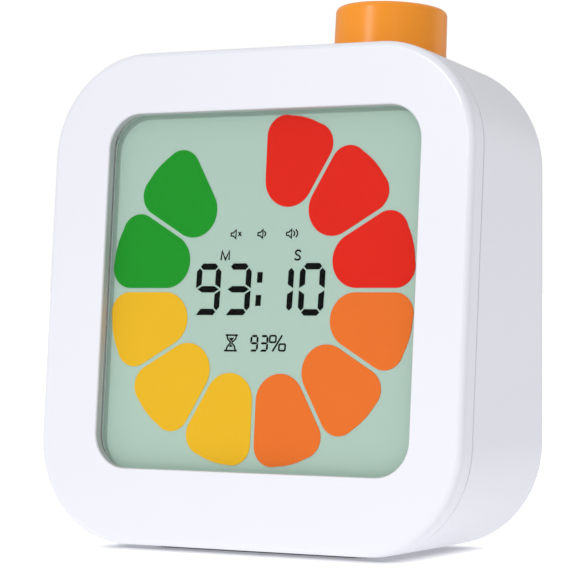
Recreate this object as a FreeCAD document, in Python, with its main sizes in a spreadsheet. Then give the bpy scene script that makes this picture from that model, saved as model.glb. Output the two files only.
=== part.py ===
"""Visual countdown timer: a leaning square case with a round-cornered display and a press-and-turn knob.

Lengths are millimetres.  +Z is up, the display faces -Y, and the origin is on the table under the middle.
The front half of the case leans back, so most pieces are drawn in the case frame and leaned together:
there X runs across the face, Y runs back from the face, and Z runs up along it from its lower edge.
"""
import FreeCAD, Part
import math
import os
import Sketcher

Vector = FreeCAD.Vector
Placement = FreeCAD.Placement
Rotation = FreeCAD.Rotation

doc = FreeCAD.newDocument("CountdownTimer")
sheet = doc.addObject("Spreadsheet::Sheet", "Sizes")

DRIVING_SIZES = [
    # the case
    ("case_width", 88.0),
    ("case_height", 90.6),
    ("corner_radius", 19.2),
    ("base_depth", 36.0),
    ("back_fall", 3.0),
    ("lean_angle", 5.0),
    ("wall", 2.0),
    ("face_thickness", 1.7),
    ("front_round", 1.2),
    ("rear_round", 3.0),
    ("seam_depth", 3.9),
    ("seam_gap", 0.25),
    ("seam_round", 0.3),
    ("tongue_length", 1.6),
    ("tongue_thickness", 1.0),
    ("fit_clearance", 0.25),
    ("loose_clearance", 0.1),
    ("thread_clearance", 0.02),
    # the feet
    ("foot_stand", 0.6),
    ("foot_recess", 0.5),
    ("foot_length", 44.0),
    ("foot_width", 5.0),
    ("foot_inset", 5.5),
    # the window and what stands behind it
    ("bezel_side", 11.3),
    ("bezel_top", 11.4),
    ("bezel_bottom", 13.8),
    ("window_shift", 1.0),
    ("window_radius", 6.5),
    ("window_round", 0.3),
    ("lens_margin", 0.9),
    ("lens_thickness", 0.8),
    ("gasket_thickness", 0.2),
    ("glass_margin", 0.8),
    ("glass_thickness", 1.1),
    ("contact_ledge", 2.6),
    ("backlight_thickness", 3.5),
    ("frame_wall", 0.8),
    ("frame_clearance", 0.2),
    ("contact_strip_inset", 2.7),
    ("contact_strip_width", 1.6),
    # the ring of twelve petals on the display
    ("petal_count", 12.0),
    ("petal_gap", 0.8),
    ("petal_margin", 0.9),
    ("petal_inner_distance", 15.7),
    ("petal_corner", 3.8),
    ("petal_crown", 0.35),
    ("petal_film", 0.1),
    ("ring_rise", 0.2),
    ("ring_shift", -0.4),
    # the main board
    ("board_side_gap", 1.9),
    ("board_edge", 3.6),
    ("board_thickness", 1.6),
    ("board_corner", 6.0),
    ("board_notch_clearance", 1.5),
    ("blob_x", -8.0),
    ("blob_z", 52.0),
    ("blob_radius", 7.0),
    ("blob_height", 1.8),
    ("blob_round", 1.4),
    ("crystal_inset", 10.8),
    ("crystal_z", 52.0),
    ("crystal_width", 3.2),
    ("crystal_length", 8.0),
    ("crystal_height", 3.0),
    ("header_inset", 22.8),
    ("header_z", 50.0),
    ("header_length", 12.0),
    ("header_width", 4.0),
    ("header_height", 4.5),
    ("header_wall", 0.7),
    ("board_screw_inset", 11.5),
    ("board_screw_edge", 5.2),
    ("board_boss_radius", 2.3),
    ("board_screw_radius", 0.9),
    ("board_screw_length", 6.0),
    ("board_screw_head_radius", 1.8),
    ("board_screw_head", 1.2),
    # the four screws that hold the halves together
    ("case_screw_inset", 5.5),
    ("case_screw_low_z", 47.0),
    ("case_screw_drop", 20.0),
    ("case_boss_radius", 2.8),
    ("case_boss_end", 12.0),
    ("case_screw_radius", 1.1),
    ("case_screw_length", 9.0),
    ("case_screw_head_radius", 2.0),
    ("case_screw_head", 1.6),
    ("well_radius", 2.4),
    ("well_wall", 1.3),
    ("well_seat", 2.0),
    # the knob and the encoder under it
    ("knob_inset", 25.1),
    ("knob_radius", 10.2),
    ("knob_taper", 0.1),
    ("knob_height", 8.7),
    ("knob_gap", 0.6),
    ("knob_travel", 0.5),
    ("knob_wall", 1.6),
    ("knob_roof", 1.8),
    ("knob_round", 1.1),
    ("knob_hub_radius", 4.4),
    ("hub_clearance", 0.3),
    ("seat_drop", 1.1),
    ("seat_clearance", 0.4),
    ("seat_thickness", 2.5),
    ("seat_boss_radius", 8.0),
    ("bush_radius", 3.5),
    ("bush_length", 5.3),
    ("shaft_radius", 3.0),
    ("shaft_flat", 1.5),
    ("shaft_neck_radius", 2.0),
    ("shaft_neck_flat", 1.5),
    ("shaft_running_clearance", 0.05),
    ("washer_radius", 5.8),
    ("washer_thickness", 0.5),
    ("nut_across_flats", 10.0),
    ("nut_thickness", 2.0),
    ("encoder_size", 11.4),
    ("encoder_gap", 0.5),
    ("encoder_plate", 0.8),
    ("encoder_body_height", 6.4),
    ("encoder_yoke_leg", 0.5),
    ("yoke_leg_width", 6.0),
    ("rotor_radius", 5.0),
    ("rotor_thickness", 2.6),
    ("rotor_clearance", 0.35),
    ("rotor_headroom", 1.0),
    ("plunger_radius", 2.1),
    ("plunger_thickness", 0.7),
    ("plunger_drop", 0.75),
    ("encoder_floor", 0.7),
    ("encoder_board_width", 18.0),
    ("encoder_board_depth", 12.0),
    ("encoder_board_corner", 1.0),
    # the battery bay and its door
    ("bay_centre_z", 24.0),
    ("bay_end_room", 4.7),
    ("bay_side_room", 1.35),
    ("bay_undercut", 1.5),
    ("bay_wall", 1.5),
    ("cell_radius", 5.15),
    ("cell_length", 43.6),
    ("cell_button", 0.9),
    ("cell_button_radius", 1.9),
    ("cell_gap", 0.5),
    ("cell_clearance", 0.3),
    ("cell_edge", 0.8),
    ("door_end_lap", 4.0),
    ("door_side_lap", 3.6),
    ("door_thickness", 1.6),
    ("door_corner", 2.0),
    ("door_clearance", 0.2),
    ("door_travel", 5.5),
    ("door_groove", 0.4),
    ("door_groove_width", 0.9),
    ("door_groove_length", 10.0),
    ("door_groove_pitch", 2.0),
    ("door_groove_count", 5.0),
    ("door_groove_x", -20.0),
    ("ledge_gap", 0.15),
    ("lip_thickness", 1.25),
    ("ledge_margin", 2.0),
    ("hook_width", 5.0),
    ("hook_thickness", 1.1),
    ("hook_clearance", 0.3),
    ("hook_left_x", -18.0),
    ("hook_right_x", 8.0),
    ("contact_thickness", 0.4),
    ("contact_width", 7.0),
    ("leaf_width", 4.0),
    ("leaf_spread", 6.4),
    ("leaf_tip", 0.8),
    ("contact_play", 0.05),
    # the volume switch
    ("switch_x", 20.0),
    ("switch_drop", 26.6),
    ("switch_travel", 2.0),
    ("switch_recess_margin", 2.75),
    ("switch_recess_depth", 0.9),
    ("slider_length", 4.0),
    ("slider_height", 3.0),
    ("slider_clearance", 0.25),
    ("switch_can_length", 12.8),
    ("switch_can_height", 5.8),
    ("switch_can_depth", 3.6),
    ("switch_can_wall", 0.4),
    ("switch_board_margin", 2.3),
    ("switch_board_height", 8.0),
    ("switch_board_thickness", 1.0),
    ("switch_post_radius", 1.7),
    ("slider_edge", 0.3),
    ("slider_sunk", 0.2),
    ("slider_rib_pitch", 1.2),
    ("slider_rib_width", 0.5),
    ("slider_rib_depth", 0.35),
    ("slider_stem_length", 2.0),
    ("slider_stem_height", 1.8),
    # the speaker
    ("speaker_x", -16.0),
    ("speaker_drop", 23.6),
    ("speaker_radius", 10.0),
    ("speaker_depth", 3.6),
    ("speaker_wall", 0.5),
    ("speaker_ring_wall", 1.2),
    ("speaker_ring_height", 2.6),
    ("speaker_round", 1.0),
    ("magnet_radius", 5.0),
    ("magnet_thickness", 2.0),
    ("cone_depth", 1.4),
    ("cone_edge", 0.3),
    ("sound_hole_radius", 0.8),
    ("sound_ring_inner", 3.2),
    ("sound_ring_outer", 6.2),
]

for row, (alias, value) in enumerate(DRIVING_SIZES, start=1):
    sheet.set("A%d" % row, alias)
    sheet.set("B%d" % row, str(value))
    sheet.setAlias("B%d" % row, alias)
doc.recompute()


class Size:
    """A length or angle that knows both its number and the formula it is worked out by."""

    def __init__(self, value, formula):
        self.value = float(value)
        self.formula = formula

    def __add__(self, other):
        other = as_size(other)
        return Size(self.value + other.value, "(%s + %s)" % (self.formula, other.formula))

    def __sub__(self, other):
        other = as_size(other)
        return Size(self.value - other.value, "(%s - %s)" % (self.formula, other.formula))

    def __mul__(self, other):
        other = as_size(other)
        return Size(self.value * other.value, "(%s * %s)" % (self.formula, other.formula))

    def __truediv__(self, other):
        other = as_size(other)
        return Size(self.value / other.value, "(%s / %s)" % (self.formula, other.formula))

    def __radd__(self, other):
        return as_size(other) + self

    def __rsub__(self, other):
        return as_size(other) - self

    def __rmul__(self, other):
        return as_size(other) * self

    def __neg__(self):
        return Size(-self.value, "(0 - %s)" % self.formula)


def as_size(thing):
    return thing if isinstance(thing, Size) else Size(thing, repr(float(thing)))


def size(alias):
    return Size(getattr(sheet, alias), "Sizes." + alias)


def sine(angle):
    return Size(math.sin(math.radians(angle.value)), "sin(%s)" % angle.formula)


def cosine(angle):
    return Size(math.cos(math.radians(angle.value)), "cos(%s)" % angle.formula)


ZERO = as_size(0)

# Heights and depths that several pieces share.

lean = size("lean_angle")
case_width = size("case_width")
case_height = size("case_height")
wall = size("wall")
face = size("face_thickness")
seam = size("seam_depth")
rear_start = seam + size("seam_gap")
fit = size("fit_clearance")
tongue_inset = wall + fit
inner_inset = tongue_inset + size("tongue_thickness")

case_base_z = size("foot_stand") + seam * sine(lean)
seam_high_z = case_base_z - rear_start * sine(lean) + case_height * cosine(lean)
back_high_z = seam_high_z - size("back_fall")
back_middle_z = (size("foot_stand") + back_high_z) / 2
back_height = back_high_z - size("foot_stand")
front_reach = size("front_round") * (cosine(lean) + sine(lean) - 1)
case_base_y = -(size("base_depth") + front_reach) / 2
rear_y = case_base_y + size("base_depth")

window_x = size("window_shift")
window_z = (case_height + size("bezel_bottom") - size("bezel_top")) / 2
window_width = case_width - size("bezel_side") * 2
window_height = case_height - size("bezel_bottom") - size("bezel_top")

lens_front = face
lens_back = lens_front + size("lens_thickness")
glass_front = lens_back + size("gasket_thickness")
glass_back = glass_front + size("glass_thickness")
backlight_front = glass_back + size("glass_thickness")
board_front = backlight_front + size("backlight_thickness")
board_back = board_front + size("board_thickness")

glass_width = window_width + size("glass_margin") * 2
glass_top = window_z + window_height / 2 + size("glass_margin")
glass_bottom = window_z - window_height / 2 - size("glass_margin") - size("contact_ledge")
rear_glass_bottom = glass_bottom + size("contact_ledge")
frame_inner_width = glass_width + size("frame_clearance") * 2
frame_inner_height = glass_top - glass_bottom + size("frame_clearance") * 2
frame_centre_z = (glass_top + glass_bottom) / 2

case_screw_x = case_width / 2 - size("case_screw_inset")
case_screw_high_z = case_height - size("case_screw_drop")
board_width = (case_screw_x - size("case_boss_radius") - size("board_side_gap")) * 2
board_screw_x = board_width / 2 - size("board_screw_inset")

knob_x = case_width / 2 - size("knob_inset")
knob_y = board_front + size("encoder_gap") + size("encoder_size") / 2
seat_z = case_height - size("seat_drop")
encoder_top = seat_z - size("seat_thickness")
bush_top = encoder_top + size("bush_length")
knob_base = seat_z + size("knob_gap")
knob_top = knob_base + size("knob_height")
knob_ceiling = knob_top - size("knob_roof")
hub_base = bush_top + size("knob_travel") + size("hub_clearance")
driver_base = hub_base - size("hub_clearance") / 2
plate_base = encoder_top - size("encoder_plate")
encoder_base_z = plate_base - size("encoder_body_height")
rotor_top = plate_base - size("rotor_headroom")
rotor_base = rotor_top - size("rotor_thickness")
shaft_step = plate_base - size("loose_clearance")
plunger_top = rotor_base - size("plunger_drop")
shaft_end = plunger_top + size("shaft_running_clearance")
encoder_board_z = encoder_base_z - size("board_thickness")

bay_z = size("bay_centre_z")
cell_pitch = size("cell_radius") * 2 + size("cell_gap")
bay_length = size("cell_length") + size("cell_button") + size("contact_thickness") * 2 + size("bay_end_room")
bay_opening_height = cell_pitch + (size("cell_radius") + size("bay_side_room")) * 2
door_length = bay_length + size("door_end_lap") * 2
door_height = bay_opening_height + size("door_side_lap") * 2
door_inner = rear_y - size("door_thickness")
ledge_y = door_inner - size("ledge_gap")
lip_inner = ledge_y - size("lip_thickness")
cell_y = lip_inner - size("cell_clearance") - size("cell_radius")
bay_floor = cell_y - size("cell_radius") - size("cell_clearance")
rear_inner = rear_y - wall

switch_x = size("switch_x")
switch_z = back_high_z - size("switch_drop")
switch_post_x = size("switch_can_length") / 2 + size("switch_post_radius") + size("loose_clearance")
can_back = rear_inner - fit
can_front = can_back - size("switch_can_depth")
switch_board_front = can_front - size("switch_board_thickness")

speaker_x = size("speaker_x")
speaker_z = back_high_z - size("speaker_drop")


def case_depth_of_rear(z):
    """How far behind the face the upright back is, at a height along the leaning face."""
    return (size("base_depth") - z * sine(lean)) / cosine(lean)


CASE = Placement(
    Vector(0, case_base_y.value, case_base_z.value), Rotation(Vector(1, 0, 0), -lean.value)
)
UPRIGHT = Placement()
FACE_PLANE = Placement(Vector(0, 0, 0), Rotation(Vector(1, 0, 0), 90))


def lean_with_case(thing):
    """Stand a piece in the leaning case frame."""
    thing.Placement = CASE
    thing.setExpression("Placement.Base.y", case_base_y.formula)
    thing.setExpression("Placement.Base.z", case_base_z.formula)
    thing.setExpression("Placement.Rotation.Angle", "0 - " + lean.formula)


def new_body(name, leaning=True):
    body = doc.addObject("PartDesign::Body", name)
    body.Label = name
    if leaning:
        lean_with_case(body)
    return body


def origin_plane(body, role):
    return [item for item in body.Origin.OriginFeatures if item.Role == role][0]


def bind(thing, path, amount):
    thing.setExpression(path, as_size(amount).formula)


def face_sketch(body, name, y, x=ZERO, z=ZERO):
    """A sketch parallel to the face of its own frame, at depth y, with its middle at x and z."""
    sketch = body.newObject("Sketcher::SketchObject", name)
    sketch.AttachmentSupport = [(origin_plane(body, "XZ_Plane"), "")]
    sketch.MapMode = "FlatFace"
    bind(sketch, "AttachmentOffset.Base.x", x)
    bind(sketch, "AttachmentOffset.Base.y", z)
    bind(sketch, "AttachmentOffset.Base.z", -as_size(y))
    return sketch


def floor_sketch(body, name, z, x=ZERO, y=ZERO):
    """A sketch parallel to the floor of its own frame, at height z, with its middle at x and y."""
    sketch = body.newObject("Sketcher::SketchObject", name)
    sketch.AttachmentSupport = [(origin_plane(body, "XY_Plane"), "")]
    sketch.MapMode = "FlatFace"
    bind(sketch, "AttachmentOffset.Base.x", x)
    bind(sketch, "AttachmentOffset.Base.y", y)
    bind(sketch, "AttachmentOffset.Base.z", z)
    return sketch


def leaning_face_sketch(body, name, y, x=ZERO, z=ZERO):
    """In an upright body: a sketch parallel to the leaning face, at depth y behind it."""
    sketch = body.newObject("Sketcher::SketchObject", name)
    sketch.AttachmentSupport = [(origin_plane(body, "XZ_Plane"), "")]
    sketch.MapMode = "FlatFace"
    there = Placement(Vector(as_size(x).value, as_size(y).value, as_size(z).value), Rotation())
    sketch.AttachmentOffset = FACE_PLANE.inverse() * CASE * there * FACE_PLANE
    return sketch


def leaning_floor_sketch(body, name, z, x=ZERO, y=ZERO):
    """In an upright body: a sketch square to the leaning face, at height z along it."""
    sketch = body.newObject("Sketcher::SketchObject", name)
    sketch.AttachmentSupport = [(origin_plane(body, "XY_Plane"), "")]
    sketch.MapMode = "FlatFace"
    there = Placement(Vector(as_size(x).value, as_size(y).value, as_size(z).value), Rotation())
    sketch.AttachmentOffset = CASE * there
    return sketch


def hold(sketch, constraint, amount=None):
    """Add a constraint and, where it has a size, tie it to the sheet."""
    index = sketch.addConstraint(constraint)
    if amount is not None:
        bind(sketch, "Constraints[%d]" % index, amount)


def hold_point(sketch, item, end, x, y):
    """Tie one point of a sketch item to its place from the sketch's own middle."""
    x = as_size(x)
    y = as_size(y)
    if abs(x.value) < 1e-9:
        hold(sketch, Sketcher.Constraint("PointOnObject", item, end, -2))
    else:
        hold(sketch, Sketcher.Constraint("DistanceX", -1, 1, item, end, x.value), x)
    if abs(y.value) < 1e-9:
        hold(sketch, Sketcher.Constraint("PointOnObject", item, end, -1))
    else:
        hold(sketch, Sketcher.Constraint("DistanceY", -1, 1, item, end, y.value), y)


def rounded_rectangle(sketch, width, height, radius):
    """A rectangle with round corners about the sketch's middle."""
    width = as_size(width)
    height = as_size(height)
    radius = as_size(radius)
    half_x = width.value / 2
    half_y = height.value / 2
    r = radius.value
    first = sketch.GeometryCount
    corners = [(1, 1, 0), (-1, 1, 90), (-1, -1, 180), (1, -1, 270)]
    for side_x, side_y, start in corners:
        circle = Part.Circle(Vector(side_x * (half_x - r), side_y * (half_y - r), 0), Vector(0, 0, 1), r)
        sketch.addGeometry(Part.ArcOfCircle(circle, math.radians(start), math.radians(start + 90)))
    sides = [
        (Vector(half_x - r, half_y, 0), Vector(r - half_x, half_y, 0)),
        (Vector(-half_x, half_y - r, 0), Vector(-half_x, r - half_y, 0)),
        (Vector(r - half_x, -half_y, 0), Vector(half_x - r, -half_y, 0)),
        (Vector(half_x, r - half_y, 0), Vector(half_x, half_y - r, 0)),
    ]
    for start, end in sides:
        sketch.addGeometry(Part.LineSegment(start, end))
    for number in range(4):
        arc = first + number
        line = first + 4 + number
        next_arc = first + (number + 1) % 4
        hold(sketch, Sketcher.Constraint("Tangent", arc, 2, line, 1))
        hold(sketch, Sketcher.Constraint("Tangent", line, 2, next_arc, 1))
        if number:
            hold(sketch, Sketcher.Constraint("Equal", first, arc))
    hold(sketch, Sketcher.Constraint("Horizontal", first + 4))
    hold(sketch, Sketcher.Constraint("Vertical", first + 5))
    hold(sketch, Sketcher.Constraint("Symmetric", first, 3, first + 2, 3, -1, 1))
    hold(sketch, Sketcher.Constraint("Radius", first, r), radius)
    hold(sketch, Sketcher.Constraint("DistanceX", -1, 1, first, 3, half_x - r), width / 2 - radius)
    hold(sketch, Sketcher.Constraint("DistanceY", -1, 1, first, 3, half_y - r), height / 2 - radius)


def closed_outline(sketch, points):
    """Straight lines through points that are each tied to their place."""
    points = [(as_size(x), as_size(y)) for x, y in points]
    first = sketch.GeometryCount
    count = len(points)
    for number, (x, y) in enumerate(points):
        next_x, next_y = points[(number + 1) % count]
        start = Vector(x.value, y.value, 0)
        sketch.addGeometry(Part.LineSegment(start, Vector(next_x.value, next_y.value, 0)))
    for number, (x, y) in enumerate(points):
        after = first + (number + 1) % count
        hold(sketch, Sketcher.Constraint("Coincident", first + number, 2, after, 1))
        hold_point(sketch, first + number, 1, x, y)


def rectangle(sketch, width, height):
    """A sharp-cornered rectangle about the sketch's middle."""
    half_x = as_size(width) / 2
    half_y = as_size(height) / 2
    corners = [(-half_x, -half_y), (half_x, -half_y), (half_x, half_y), (-half_x, half_y)]
    closed_outline(sketch, corners)


def circle(sketch, radius, x=ZERO, y=ZERO):
    radius = as_size(radius)
    x = as_size(x)
    y = as_size(y)
    item = sketch.addGeometry(Part.Circle(Vector(x.value, y.value, 0), Vector(0, 0, 1), radius.value))
    hold(sketch, Sketcher.Constraint("Radius", item, radius.value), radius)
    hold_point(sketch, item, 3, x, y)


def d_profile(sketch, radius, flat_distance):
    """A circle with one flat, as on a knob's shaft."""
    radius = as_size(radius)
    flat_distance = as_size(flat_distance)
    half_angle = math.acos(flat_distance.value / radius.value)
    full = Part.Circle(Vector(0, 0, 0), Vector(0, 0, 1), radius.value)
    arc = sketch.addGeometry(Part.ArcOfCircle(full, half_angle, 2 * math.pi - half_angle))
    chord_end = radius.value * math.sin(half_angle)
    low = Vector(flat_distance.value, -chord_end, 0)
    high = Vector(flat_distance.value, chord_end, 0)
    line = sketch.addGeometry(Part.LineSegment(low, high))
    hold(sketch, Sketcher.Constraint("Coincident", arc, 2, line, 1))
    hold(sketch, Sketcher.Constraint("Coincident", line, 2, arc, 1))
    hold(sketch, Sketcher.Constraint("Coincident", arc, 3, -1, 1))
    hold(sketch, Sketcher.Constraint("Vertical", line))
    hold(sketch, Sketcher.Constraint("Radius", arc, radius.value), radius)
    hold(sketch, Sketcher.Constraint("DistanceX", -1, 1, line, 1, flat_distance.value), flat_distance)


def pad(body, name, sketch, length, reverse=False):
    feature = body.newObject("PartDesign::Pad", name)
    feature.Profile = sketch
    feature.Reversed = reverse
    bind(feature, "Length", length)
    sketch.Visibility = False
    return feature


def pad_back(body, name, sketch, length):
    """Extrude a face sketch backwards, away from the front."""
    return pad(body, name, sketch, length, reverse=True)


def pad_front(body, name, sketch, length):
    return pad(body, name, sketch, length)


def pad_up(body, name, sketch, length):
    return pad(body, name, sketch, length)


def pocket(body, name, sketch, length, reverse=False):
    feature = body.newObject("PartDesign::Pocket", name)
    feature.Profile = sketch
    feature.Reversed = reverse
    bind(feature, "Length", length)
    sketch.Visibility = False
    return feature


def cut_back(body, name, sketch, length):
    """Cut a face sketch backwards, away from the front."""
    return pocket(body, name, sketch, length)


def cut_front(body, name, sketch, length):
    return pocket(body, name, sketch, length, reverse=True)


def cut_down(body, name, sketch, length):
    return pocket(body, name, sketch, length)


def cut_up(body, name, sketch, length):
    return pocket(body, name, sketch, length, reverse=True)


def round_edges(body, name, base, chosen, radius):
    """Fillet the edges of a feature that a test picks."""
    doc.recompute()
    names = []
    for number, edge in enumerate(base.Shape.Edges, start=1):
        if chosen(edge):
            names.append("Edge%d" % number)
    feature = body.newObject("PartDesign::Fillet", name)
    feature.Base = (base, names)
    bind(feature, "Radius", radius)
    return feature


def turned(name, points, x=ZERO, y=ZERO, leaning=True):
    """A piece turned about an upright axis at x, y from its half outline of radii and heights."""
    body = new_body(name, leaning)
    sketch = face_sketch(body, name + "_outline", y, x=x)
    closed_outline(sketch, points)
    feature = body.newObject("PartDesign::Revolution", name + "_turned")
    feature.Profile = sketch
    feature.ReferenceAxis = (sketch, ["V_Axis"])
    feature.Angle = 360
    sketch.Visibility = False
    return body


def edge_lies_at(edge, axis, distance, tolerance=0.02):
    """Whether an edge lies whole in a plane square to an axis of its frame."""
    box = edge.BoundBox
    low = getattr(box, axis + "Min")
    high = getattr(box, axis + "Max")
    return abs(low - distance) < tolerance and abs(high - distance) < tolerance


def repeated(name, master, moves, leaning):
    """One node that holds the same piece at several places."""
    doc.recompute()
    shapes = []
    for move in moves:
        shape = master.Shape.copy()
        shape.Placement = move * shape.Placement
        shapes.append(shape)
    node = doc.addObject("Part::Feature", name)
    node.Label = name
    node.Shape = Part.makeCompound(shapes)
    if leaning:
        lean_with_case(node)
    return node


def move_to(x, y, z, rotation=Rotation()):
    return Placement(Vector(as_size(x).value, as_size(y).value, as_size(z).value), rotation)


SIDES = (-1, 1)
nodes = []


def front_shell():
    """The front half: a thin face with the window, a short skirt, a tongue and the screw bosses."""
    body = new_body("front_shell")
    outer = face_sketch(body, "face_outline", 0, z=case_height / 2)
    rounded_rectangle(outer, case_width, case_height, size("corner_radius"))
    block = pad_back(body, "face_block", outer, seam)

    def on_face(edge):
        return edge_lies_at(edge, "Y", 0)

    round_edges(body, "face_round", block, on_face, size("front_round"))
    hollow = face_sketch(body, "hollow_outline", face, z=case_height / 2)
    hollow_radius = size("corner_radius") - inner_inset
    rounded_rectangle(hollow, case_width - inner_inset * 2, case_height - inner_inset * 2, hollow_radius)
    cut_back(body, "hollow", hollow, seam - face)
    tongue = face_sketch(body, "tongue_outline", seam, z=case_height / 2)
    tongue_width = case_width - tongue_inset * 2
    tongue_height = case_height - tongue_inset * 2
    rounded_rectangle(tongue, tongue_width, tongue_height, size("corner_radius") - tongue_inset)
    rounded_rectangle(tongue, case_width - inner_inset * 2, case_height - inner_inset * 2, hollow_radius)
    pad_back(body, "tongue", tongue, size("tongue_length"))
    window = face_sketch(body, "window_outline", 0, x=window_x, z=window_z)
    rounded_rectangle(window, window_width, window_height, size("window_radius"))
    opening = cut_back(body, "window", window, face)

    def on_window(edge):
        middle = edge.CenterOfMass
        inside = abs(middle.x - window_x.value) < window_width.value / 2 + 0.1
        inside = inside and abs(middle.z - window_z.value) < window_height.value / 2 + 0.1
        return edge_lies_at(edge, "Y", 0) and inside

    round_edges(body, "window_round", opening, on_window, size("window_round"))
    bosses = face_sketch(body, "case_boss_circles", face)
    pilots = face_sketch(body, "case_pilot_circles", seam)
    pilot_radius = size("case_screw_radius") + size("thread_clearance")
    for z in (size("case_screw_low_z"), case_screw_high_z):
        for side in SIDES:
            circle(bosses, size("case_boss_radius"), case_screw_x * side, z)
            circle(pilots, pilot_radius, case_screw_x * side, z)
    pad_back(body, "case_bosses", bosses, size("case_boss_end") - face)
    cut_back(body, "case_pilots", pilots, size("case_boss_end") - seam)
    bosses = face_sketch(body, "board_boss_circles", face)
    pilots = face_sketch(body, "board_pilot_circles", seam)
    for x, z in board_screw_places():
        circle(bosses, size("board_boss_radius"), x, z)
        circle(pilots, size("board_screw_radius") + size("thread_clearance"), x, z)
    pad_back(body, "board_bosses", bosses, board_front - face)
    cut_back(body, "board_pilots", pilots, board_front - seam)
    nodes.append(body)


def board_screw_places():
    """Two screws under the display and one above it, on the side away from the encoder."""
    low = size("board_screw_edge")
    return [
        (board_screw_x, low),
        (-board_screw_x, low),
        (-board_screw_x, case_height - low),
    ]


def rear_shell():
    """The rear half: a wedge from the leaning seam to the upright back, hollow, with its fittings."""
    body = new_body("rear_shell", leaning=False)
    side_view = body.newObject("Sketcher::SketchObject", "side_outline")
    side_view.AttachmentSupport = [(origin_plane(body, "YZ_Plane"), "")]
    side_view.MapMode = "FlatFace"
    seam_low_y = case_base_y + rear_start * cosine(lean)
    seam_high_y = seam_low_y + case_height * sine(lean)
    points = [
        (seam_low_y, size("foot_stand")),
        (rear_y, size("foot_stand")),
        (rear_y, back_high_z),
        (seam_high_y, seam_high_z),
    ]
    closed_outline(side_view, points)
    wedge = pad(body, "outer_wedge", side_view, case_width)
    wedge.Midplane = True

    def on_corner(edge):
        along_back = edge.BoundBox.YLength > size("base_depth").value / 2
        return along_back and edge.BoundBox.XLength < 0.01

    cornered = round_edges(body, "corner_round", wedge, on_corner, size("corner_radius"))

    def on_back(edge):
        return edge_lies_at(edge, "Y", rear_y.value)

    rounded = round_edges(body, "back_round", cornered, on_back, size("rear_round"))
    seam_middle = CASE.multVec(Vector(0, rear_start.value, case_height.value / 2))
    across = CASE.Rotation.multVec(Vector(0, 1, 0))

    def on_seam(edge):
        points = [edge.valueAt(edge.FirstParameter), edge.valueAt(edge.LastParameter)]
        return all(abs((point - seam_middle).dot(across)) < 0.05 for point in points)

    round_edges(body, "seam_round", rounded, on_seam, size("seam_round"))
    start = leaning_face_sketch(body, "inner_seam_outline", rear_start - 1, z=case_height / 2)
    inner_radius = size("corner_radius") - wall
    rounded_rectangle(start, case_width - wall * 2, case_height - wall * 2, inner_radius)
    end = face_sketch(body, "inner_back_outline", rear_inner, z=back_middle_z)
    rounded_rectangle(end, case_width - wall * 2, back_height - wall * 2, inner_radius)
    inner = body.newObject("PartDesign::SubtractiveLoft", "inner_wedge")
    inner.Profile = start
    inner.Sections = [end]
    inner.Ruled = True

    add_screw_tubes(body)
    add_battery_bay(body)
    add_encoder_seat(body)
    add_volume_switch_seat(body)
    add_speaker_seat(body)
    add_foot_grooves(body)
    nodes.append(body)


def add_screw_tubes(body):
    """Four tubes from the back to the front shell's bosses, with a seat for each screw's head."""
    seat = size("case_boss_end")
    for label, z in (("low", size("case_screw_low_z")), ("high", case_screw_high_z)):
        back = case_depth_of_rear(z)
        tubes = leaning_face_sketch(body, label + "_tube_circles", seat)
        holes = leaning_face_sketch(body, label + "_hole_circles", seat)
        wells = leaning_face_sketch(body, label + "_well_circles", seat + size("well_seat"))
        for side in SIDES:
            x = case_screw_x * side
            circle(tubes, size("well_radius") + size("well_wall"), x, z)
            circle(holes, size("case_screw_radius") + fit, x, z)
            circle(wells, size("well_radius"), x, z)
        pad_back(body, label + "_tubes", tubes, back - seat - wall / 2)
        cut_back(body, label + "_holes", holes, size("well_seat"))
        cut_back(body, label + "_wells", wells, back - seat - size("well_seat") + 1)


def bay_outline_width():
    return bay_length + size("bay_wall") * 2


def recess_middle():
    """The door's recess is longer than the door by its travel, to one side."""
    return (size("door_travel") + size("door_clearance")) / 2


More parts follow.
